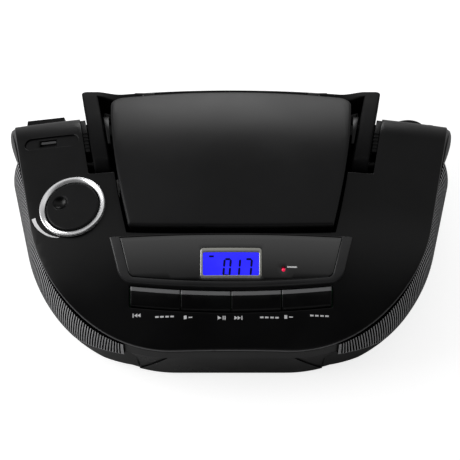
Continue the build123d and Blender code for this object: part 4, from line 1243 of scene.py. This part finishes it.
@dataclass
class Display:
    """Bezel, glossy panel, silver frame, lit window with figures, and the lamp.

    `ends` holds the two ends of each bar of a digit, by column and row.
    """

    half: float = 21.0
    start: float = 39.4
    end: float = 58.8
    border: float = 1.8
    brow: float = 3.0
    lamp: Pair = (35.8, 45.7)
    lamp_hole: float = 1.3
    stroke: float = 1.5
    point: float = 0.12
    digit: Pair = (4.2, 5.6)
    slant: float = 0.09
    drop: float = 2.3
    origin: Pair = (0.0, 49.0)
    ink: Pair = (1.62, 1.78)
    digits: tuple[tuple[float, str], ...] = ((-5.3, "abcdef"), (1.1, "bc"), (9.1, "abc"))
    ends: dict[str, tuple[tuple[int, int], tuple[int, int]]] = field(default_factory=lambda: {
        "a": ((0, 2), (1, 2)), "b": ((1, 1), (1, 2)), "c": ((1, 0), (1, 1)), "d": ((0, 0), (1, 0)),
        "e": ((0, 0), (0, 1)), "f": ((0, 1), (0, 2))})

    def box(self, grow: float, rear: float, reach: float) -> np.ndarray:
        """Outline of the display's frame or window, with round corners.

        Args:
            grow: Distance by which it is larger in front and at its ends.
            rear: Distance by which it is larger behind.
            reach: Size of the round corners.

        Returns:
            The loop.
        """
        half = self.half + grow
        loop = rectangle(-half, half, self.start - grow, self.end + rear)
        return eased(loop, loop, reach)

    def bar(self, a: Pair, b: Pair) -> np.ndarray:
        """Long six-sided bar of a digit.

        Args:
            a: One end.
            b: The other end.

        Returns:
            Its loop.
        """
        p, q = np.array(a), np.array(b)
        d = (q - p) / np.hypot(*(q - p))
        n, k = np.array([-d[1], d[0]]) * self.stroke / 2, d * self.stroke / 2
        p, q = p + d * self.point, q - d * self.point
        return np.array([p, p + k - n, q - k - n, q, q - k + n, p + k + n])

    def figures(self) -> Shell:
        """The digits 0, 1 and 7 in seven bars each, slightly slanted, and a dash on the window.

        Returns:
            All bars in one.
        """
        width, high = self.digit
        bars = [self.bar(*((x + c * width + self.slant * r * high, (r - 1) * high - self.drop)
                           for c, r in self.ends[bar])) for x, word in self.digits for bar in word]
        return joined([slab(bar, *self.ink, *COVER.frame(*self.origin))
                       for bar in bars + [rectangle(-15, -11.8, 4.6, 5.9)]])

    def build(self) -> None:
        """Makes the display area."""
        bezel = plate([PLANS.flared(34.2, 68.8, 76.0, 0, 7.0)], [PLANS.panel(0.15)], COVER.at(2.4),
                      COVER.at(0.02), 0.9, step=3.0)
        put("display_surround", bezel, [Finishes.BEZEL], "cabinet", stands_for=["display_bezel"])
        hole, eye = self.box(0, 0, 2.0), arc(self.lamp, self.lamp_hole, 0, 345, 24)
        panel = plate([PLANS.panel(0)], [hole, eye], COVER.at(1.9), COVER.at(0.02), 0.45, step=3.0)
        put("glossy_panel", panel, [Finishes.PANEL], "cabinet", stands_for=["display_panel"])
        inner = self.box(-self.border, -self.brow, 1.0)
        frame = plate([hole], [inner], COVER.at(2.6), COVER.at(0.3), 0.75, *FINE)
        put("silver_frame", frame, [Finishes.SILVER], "cabinet", stands_for=["display_frame"])
        window = plate([inner], [], COVER.at(1.7), COVER.at(0.3), 0.1, step=2.0)
        put("lit_window", window, [Finishes.SCREEN], "cabinet", stands_for=["display_window"])
        profile = [[ON_AXIS, 0.0], [1.2, 0.0], [1.2, 1.9], [0.8, 2.25], [ON_AXIS, 2.4]]
        put("lamp_dome", turned(profile, *COVER.frame(*self.lamp), 32), [Finishes.LAMP], "cabinet",
            stands_for=["power_lamp"])
        put("display_figures", self.figures(), [Finishes.DIGIT], "cabinet")


@dataclass
class Keys:
    """Four wide rocker keys in a bowed row; a painted highlight lies on each key's rear bevel."""

    names: tuple[str, ...] = ("first", "second", "third", "fourth")
    gap: float = 0.6
    edge: float = 0.8
    brow: float = 29.4
    brow_end: float = 36.0
    fall: float = 0.3
    lift: float = 1.4
    foot: float = -3.4
    spill: float = 1.5

    def top(self, x: np.ndarray, s: np.ndarray) -> np.ndarray:
        """Face of a key: follows the cover and falls by a share of the length behind the brow line."""
        return COVER.height(x, s, self.lift) - self.fall * np.maximum(PLANS.row(x, s) - self.brow, 0)

    def build(self) -> None:
        """Makes the keys, each on its own body."""
        width = 2 * PLANS.key_half / len(self.names)
        for number, name in enumerate(self.names):
            x0 = -PLANS.key_half + number * width + self.gap / 2
            loop = PLANS.strip(PLANS.key_front, PLANS.key_front + PLANS.key_depth, x0, x0 + width - self.gap)
            bevel = PLANS.strip(self.brow, self.brow_end, x0 - self.spill, x0 + width + self.spill)
            cap = plate([loop], [], self.top, COVER.at(self.foot), self.edge, step=2.5, edge=1.2,
                        guides=[bevel])
            x, s, z = cap.points[cap.faces[0]].mean(axis=1).T
            # faces behind the brow line and above the cover get the light grey as a painted highlight
            light = (PLANS.row(x, s) > self.brow) & (z > COVER.height(x, s))
            cap.tint = [light.astype(np.int32), np.zeros(len(cap.faces[1]), np.int32)]
            put(f"{name}_rocker", cap, [Finishes.KEY, Finishes.PAINTED_HIGHLIGHT], f"key_{number + 1}",
                stands_for=[f"{name}_key"])


@dataclass
class Volume:
    """Chromed ring and the knob with its finger dimple.

    `crest` holds the rise of the ring's inner side and how much more its outer side has. `dimple`
    holds how far from the middle the ball stands that hollows the knob, the ball's radius, and
    the height of the ball's centre over the cap.
    """

    ring: float = 23.7
    inner: float = 20.0
    lip: float = 0.2
    crest: Pair = (0.5, 2.0)
    cap: float = 19.2
    rise: float = 1.2
    round: float = 1.6
    foot: float = -3.0
    dimple: Triple = (9.6, 6.6, 3.6)
    dimple_angle: float = 158.0
    count: int = 96

    def knob(self) -> Shell:
        """Flat cap with a round edge; its top sinks where a ball beside the middle would touch it.

        Returns:
            The cap and its stem in one.
        """
        origin, frame = COVER.frame(*KNOB_PLACE)
        turn = np.linspace(0, 2 * np.pi, self.count, endpoint=False)
        bend = np.radians(np.linspace(0, 90, 7))[1:]
        flat = np.concatenate([[ON_AXIS], np.linspace(1, self.cap - self.round, 28)])
        r = np.concatenate([flat, self.cap - self.round + self.round * np.sin(bend), [self.cap, ON_AXIS]])
        h = np.concatenate([np.full(len(flat), self.rise), self.rise - self.round + self.round * np.cos(bend),
                            [self.foot, self.foot]])
        x, y = np.outer(r, np.cos(turn)), np.outer(r, np.sin(turn))
        z = np.repeat(h[:, None], self.count, axis=1)
        (reach, ball, lift), a, top = self.dimple, math.radians(self.dimple_angle), slice(len(flat))
        away = (x - reach * math.cos(a)) ** 2 + (y - reach * math.sin(a)) ** 2
        bowl = self.rise + lift - np.sqrt(np.maximum(ball**2 - away, 0))
        z[top] = np.where(away < ball**2, np.minimum(z, bowl), z)[top]
        low = z < self.rise - 0.12
        low[len(flat):] = False
        faces = grid_faces(len(r), self.count, True)[:, ::-1]
        cap = Shell(origin + np.stack([x, y, z], axis=2).reshape(-1, 3) @ frame, [faces],
                    [low.ravel()[faces].all(axis=1).astype(np.int32)])
        return cap + turned([[ON_AXIS, -17], [3.0, -17], [3.0, -2.9], [ON_AXIS, -2.9]], origin, frame, 32)

    def build(self) -> None:
        """Makes the ring, a rounded band that is higher outside than inside, and the knob."""
        bend = np.radians(np.linspace(0, 180, 13))
        middle, half = (self.ring + self.inner) / 2, (self.ring - self.inner) / 2
        lean = (1 + np.cos(bend)) / 2
        high = self.lip + (self.crest[0] + self.crest[1] * lean**0.8) * np.sin(bend) ** 0.45
        top = np.stack([middle + half * np.cos(bend), high], axis=1)
        step, foot = self.inner + 0.8, [self.inner, -2.6]
        profile = np.vstack([[foot, [step, -2.6], [step, -0.6], [self.ring, -0.6]], top, [foot]])
        put("chrome_ring", turned(profile, *COVER.frame(*KNOB_PLACE), 128), [Finishes.CHROME], "cabinet",
            stands_for=["volume_ring"])
        put("volume_dial", self.knob(), [Finishes.KNOB, Finishes.KEY], "volume",
            stands_for=["volume_knob"])


@dataclass
class Grille:
    """Ribbed band that bulges round a front corner; its ribs are lighter than their own grey as painted
    light.

    `phase` and `dips` hold where the points of one rib lie, as shares of its pitch, and how deep
    each is, as shares of the depth. `jowl` holds the low swelling's height, place, width and rise.
    """

    centre: Pair = (-44.0, 106.0)
    radius: float = 104.0
    splay: float = 14.5
    out: float = 2.0
    bulge_radius: float = 97.48
    middle: float = 44.0
    back: float = 139.0
    end_half: float = 74.5
    low: float = 9.0
    lip: Pair = (4.0, 39.0)
    fall: float = 0.83
    pitch: float = 2.05
    depth: float = 2.0
    thickness: float = 2.0
    lean: float = -0.16
    frame: float = 1.2
    rows: int = 30
    phase: tuple[float, ...] = (0.0, 0.05, 0.1, 0.5, 0.55, 0.6)
    dips: tuple[float, ...] = (0.0, 0.35, 1.0, 1.0, 0.35, 0.0)
    jowl: Quad = (0.9, 68.0, 36.0, 22.0)

    def place(self, u: np.ndarray, z: np.ndarray, deep: np.ndarray) -> np.ndarray:
        """Point of the band: out from the path by 2 less the sag of the bulge's circle, less a depth.

        The path is an arc from the nose, then a straight flank. Low round the corner the band
        swells by the jowl times a bell curve of the run along the path.

        Args:
            u: Run along the path.
            z: Height.
            deep: Depth under the band's face.

        Returns:
            The points.
        """
        splay = math.radians(self.splay)
        turn = math.pi / 2 - splay
        angle = np.clip(u / self.radius, 0, turn)
        out = np.stack([-np.sin(angle), -np.cos(angle)], axis=-1)
        ahead = np.array([-math.sin(splay), math.cos(splay)])
        flank = np.maximum(u - self.radius * turn, 0)[..., None] * ahead
        sag = self.bulge_radius - np.sqrt(self.bulge_radius**2 - (z - self.middle) ** 2)
        high, spot, wide, rise = self.jowl
        swell = high * np.exp(-(((u - spot) / wide) ** 2)) * np.clip((self.middle - z) / rise, 0, 1)
        plan = np.array(self.centre) + out * (self.radius + self.out - sag - deep + swell)[..., None] + flank
        return np.concatenate([plan, z[..., None]], axis=-1)

    def levels(self) -> np.ndarray:
        """Shares of the band's height at its rows of points, closer at both edges."""
        return np.concatenate([[0, 0.02, 0.034], np.linspace(0, 1, self.rows)[2:-2], [0.975, 0.988, 1]])

    def sheet(self, deep: np.ndarray, us: np.ndarray) -> np.ndarray:
        """Grid of points between the lower edge and the cover, its columns leaning off their ends.

        Args:
            deep: Depth at each row and column.
            us: Run along the path of each column.

        Returns:
            The points by row and column.
        """
        v = self.levels()[:, None]
        u = np.repeat(us[None, :], len(v), axis=0)
        z, lean = np.full_like(u, 50.0), np.zeros_like(u)
        span = np.clip(np.minimum(us - us[0], us[-1] - us) / 12.0, 0, 1)
        for _ in range(6):
            x, s, _z = np.moveaxis(self.place(u + lean, z, np.zeros_like(z)), -1, 0)
            roof = COVER.height(x, s, -1.6)
            floor = np.maximum(self.low, self.lip[1] - self.fall * (s - self.lip[0]))
            z = floor + (roof - floor) * v
            lean = self.lean * (z - self.middle) * span
        return self.place(u + lean, z, deep)

    def build(self) -> None:
        """Makes both bands: an outer ribbed face, a plain inner face and the edges between; grooves and edges
        are painted shade.
        """
        splay = math.radians(self.splay)
        start = self.radius * math.asin((self.end_half + self.centre[0]) / (self.radius + self.out))
        flank = self.centre[1] - self.radius * math.sin(splay)
        end = self.radius * math.radians(90 - self.splay) + (self.back - flank) / math.cos(splay)
        count = int((end - start) / self.pitch)
        us = start + (np.arange(count)[:, None] + self.phase).ravel() * (end - start) / count
        us = np.append(us, end)
        ribbed = np.minimum(us - start, end - us) > self.frame
        v = self.levels()[:, None]
        groove = self.depth * np.append(np.tile(self.dips, count), 0.0) * ribbed * ((v > 0.03) & (v < 0.99))
        outer, inner = (self.sheet(deep, us) for deep in (groove, np.full_like(groove, self.thickness)))
        # sunk groove faces and the band's edges take the near-black finish as painted shade
        groove_shade = (groove > 0.2 * self.depth).ravel()
        shell = double_skin(outer, inner, groove_shade[grid_faces(*groove.shape)].sum(axis=1) >= 2)
        for side, name in SIDES:
            put(f"{name}_ribbed_grille", shell.on(side), [Finishes.RIB_PAINTED_LIGHT, Finishes.GROOVE_SHADE], "cabinet",
                sharp=30.0, stands_for=[f"{name}_grille"])


def bar(left: float, right: float, half: float = 1.1) -> tuple[Pair, ...]:
    """Upright or lying bar of a pictogram, about its middle line."""
    return ((left, -half), (right, -half), (right, half), (left, half))


def arrow(base: float, tip: float, half: float = 1.1) -> tuple[Pair, ...]:
    """Triangle of a pictogram that points from its base to its tip."""
    turn = math.copysign(half, tip - base)
    return ((base, -turn), (tip, 0.0), (base, turn))


class Glyph(Enum):
    """Printed pictograms, each as loops about its own middle."""

    PLAY = (arrow(-2.6, 0.0), bar(0.8, 1.5), bar(2.1, 2.8))
    STOP = (bar(-2.9, -0.9, 1.0), bar(0.4, 2.9, 0.3))
    FORWARD = (arrow(-2.8, -0.6), arrow(-0.6, 1.6), bar(2.0, 2.7))
    BACK = (arrow(2.8, 0.6), arrow(0.6, -1.6), bar(-2.7, -2.0))
    DASHES = tuple(bar(x, x + 2.4, 0.45) for x in (-6.4, -3.0, 0.6, 4.0))


@dataclass
class Marks:
    """Printed marks on the cover: plain pictograms by the keys and a tapered arc by the knob.

    `sweep` holds the arc's first angle and its turn, `reach` its radius and how much that falls,
    and `width` half its width where it starts and where it ends.
    """

    row: float = 17.4
    bow: float = 0.0006
    places: tuple[tuple[float, Glyph], ...] = (
        (-64.8, Glyph.BACK), (-45.5, Glyph.DASHES), (-29.4, Glyph.STOP), (-6.5, Glyph.PLAY),
        (5.1, Glyph.FORWARD), (26.3, Glyph.DASHES), (39.4, Glyph.STOP), (60.6, Glyph.DASHES))
    sweep: Pair = (193.0, 57.0)
    reach: Pair = (28.3, 4.3)
    width: Pair = (1.25, 0.12)
    lamp_dash: Quad = (38.4, 45.2, 46.3, 47.3)

    def decal(self, loop: np.ndarray, lift: float = 0.1) -> Shell:
        """Thin plate that follows the cover."""
        return plate([loop], [], COVER.at(lift), COVER.at(-0.4), 0.04, step=3.0, edge=1.2)

    def build(self) -> None:
        """Makes the marks."""
        made = [self.decal(np.array(shape) + (x, self.row + self.bow * x * x)) for x, glyph in self.places
                for shape in glyph.value]
        u = np.linspace(0, 1, 24)
        turn = np.radians(self.sweep[0] + self.sweep[1] * u)
        away = np.stack([np.cos(turn), np.sin(turn)], axis=1)
        middle = np.array(KNOB_PLACE) + away * (self.reach[0] - self.reach[1] * u**1.4)[:, None]
        half = away * (self.width[0] * (1 - u) ** 0.8 + self.width[1])[:, None]
        made.append(self.decal(np.vstack([middle + half, (middle - half)[::-1]])[::-1]))
        made.append(self.decal(rectangle(*self.lamp_dash), 2.0))
        put("printed_marks", joined(made), [Finishes.PRINT], "cabinet")


@dataclass
class CarriedNodes:
    """CAD nodes that keep their shape and get a finish."""

    finishes: dict[Finishes, tuple[str, ...]] = field(default_factory=lambda: {
        Finishes.KEY: ("front_plinth", "lower_cabinet"),
        Finishes.SHELL: ("handle_pivots", "battery_tray", "battery_hatch", "mains_inlet", "phone_socket",
                         "slide_switch_body", "tuning_capacitor", "drive_chassis", "laser_sled"),
        Finishes.TRIM: ("front_strip", "slide_switch_lever"),
        Finishes.COVER: ("tuning_knob",),
        # usb_socket gets near-black deck plastic in place of its steel, as painted shade inside the port
        Finishes.DECK: ("disc_deck", "turntable", "usb_socket"),
        Finishes.BOARD: ("display_module", "key_board", "main_board"),
        Finishes.STEEL: ("volume_control", "lid_hinge_pins", "spindle_motor", "sled_rods", "tuning_rotor",
                         "case_screws", "left_speaker_basket", "right_speaker_basket", "mains_transformer"),
        Finishes.CHROME: ("aerial_turret", "aerial_section_1", "aerial_section_2", "aerial_section_3"),
        Finishes.SIDE: ("usb_tongue",),
        Finishes.LIGHT: ("sled_drive_wheel",),
        Finishes.CONE: ("left_speaker_cone", "right_speaker_cone"),
        Finishes.MAGNET: ("left_speaker_magnet", "right_speaker_magnet", "ferrite_rod"),
        Finishes.CONTACT: ("battery_contacts", "inlet_pins"),
        Finishes.LENS: ("laser_lens",),
        Finishes.RUBBER: ("feet",),
    })

    def build(self, nodes: dict[str, bpy.types.Object]) -> None:
        """Gives each node its finish.

        Args:
            nodes: The frame's objects by the name of their node.
        """
        for finish, names in self.finishes.items():
            for name in names:
                mesh = nodes[name].data
                mesh.materials.clear()
                mesh.materials.append(finish.value.material())
            log.info("%s on %s", finish.value.name, ", ".join(names))


@dataclass
class Studio:
    """Floor, lights and camera.

    The world's light changes with the direction it comes from, front to back: `rise` is a ramp
    from a dark front, and `fade` one that takes some of it away behind, each as where it starts
    and ends and its values there. Both only hold for light and reflections: the camera sees white.
    A lamp is a name, a place and a width in metres, and a power in watts.
    """

    elevation: float = 57.0
    distance: float = 925.0
    target: Triple = (0.0, 100.0, 60.0)
    lens: float = 100.0
    sensor: float = 36.0
    shift: Pair = (-1.0, -7.31)
    near: float = 0.01
    floor_half: float = 6.0
    floor_scale: float = 4.0
    floor_tone: Pair = (0.42, 0.46)
    floor_rough: float = 0.9
    floor_shine: float = 0.8
    rise: Quad = (-0.5, 0.1, 0.03, 0.85)
    fade: Quad = (0.1, 0.6, 1.0, 0.4)
    focus: Triple = (0.0, 0.0, 0.05)
    lamps: tuple[tuple[str, Triple, float, float], ...] = (
        ("key_light", (-1.3, 0.0, 0.8), 0.9, 13.0),
        ("rear_light", (0.0, 1.8, 0.5), 1.0, 12.0),
        ("front_light", (0.3, -1.5, 0.45), 0.8, 0.8))

    def add(self, name: str, data: bpy.types.ID) -> bpy.types.Object:
        """Puts a new object into the scene.

        Args:
            name: Its name.
            data: Its mesh, light or camera.

        Returns:
            The object.
        """
        thing = bpy.data.objects.new(name, data)
        bpy.context.scene.collection.objects.link(thing)
        return thing

    def floor(self) -> None:
        """Makes the floor, which shows white to the camera and keeps the shadow."""
        material = bpy.data.materials.new("White floor")
        material.use_nodes = True
        wires = Wiring(material.node_tree)
        noise = wires.node("TexNoise", {"Scale": self.floor_scale}).outputs["Fac"]
        seen = wires.node("LightPath").outputs["Is Camera Ray"]
        wires.feed(material.node_tree.nodes["Principled BSDF"], {
            "Base Color": wires.ramp(noise, 0.0, 1.0, *self.floor_tone), "Roughness": self.floor_rough,
            "Emission Color": (1, 1, 1, 1),
            "Emission Strength": wires.math("MULTIPLY", seen, self.floor_shine)})
        mesh, half = bpy.data.meshes.new("studio_floor"), self.floor_half
        corners = rectangle(-half, half, -half, half)
        mesh.from_pydata([(*corner, 0) for corner in corners.tolist()], [], [(0, 1, 2, 3)])
        mesh.materials.append(material)
        self.add("studio_floor", mesh)

    def world(self) -> None:
        """Makes the world."""
        world = bpy.data.worlds.new("Studio")
        world.use_nodes = True
        wires = Wiring(world.node_tree)
        place = wires.node("TexCoord").outputs["Generated"]
        back = wires.node("SeparateXYZ", {0: place}).outputs["Y"]
        light = wires.math("MULTIPLY", wires.ramp(back, *self.rise), wires.ramp(back, *self.fade))
        seen = wires.node("LightPath").outputs["Is Camera Ray"]
        wires.feed(world.node_tree.nodes["Background"], {
            "Color": (1, 1, 1, 1), "Strength": wires.math("MAXIMUM", light, seen)})
        bpy.context.scene.world = world

    def build(self) -> None:
        """Makes the floor, the world, soft square lamps that face the radio's middle, and the camera."""
        self.floor()
        self.world()
        for name, place, size, power in self.lamps:
            light = bpy.data.lights.new(name, "AREA")
            light.size, light.energy = size, power
            lamp = self.add(name, light)
            lamp.location = place
            lamp.rotation_euler = (Vector(self.focus) - Vector(place)).to_track_quat("-Z", "Y").to_euler()
        angle, (x, s, z) = math.radians(self.elevation), self.target
        camera = bpy.data.cameras.new("photo_camera")
        camera.lens, camera.sensor_width, camera.clip_start = self.lens, self.sensor, self.near
        camera.shift_x, camera.shift_y = (shift / PHOTO_WIDTH for shift in self.shift)
        holder = self.add("photo_camera", camera)
        holder.location = Vector((x, s + FRONT - self.distance * math.cos(angle),
                                  z + self.distance * math.sin(angle))) * MILLIMETRE
        holder.rotation_euler = (math.radians(90 - self.elevation), 0, 0)
        bpy.context.scene.camera = holder
        bpy.context.scene.view_settings.view_transform = "Standard"


def main() -> None:
    """Builds the radio's visible pieces in order."""
    logging.basicConfig(level=logging.INFO, format="%(message)s")
    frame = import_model()
    for part in (CabinetTop(), Lid(), Handle(), Display(), Keys(), Volume(), Grille(), Marks()):
        part.build()
    CarriedNodes().build(frame["nodes"])
    Studio().build()


if __name__ == "__main__":
    main()
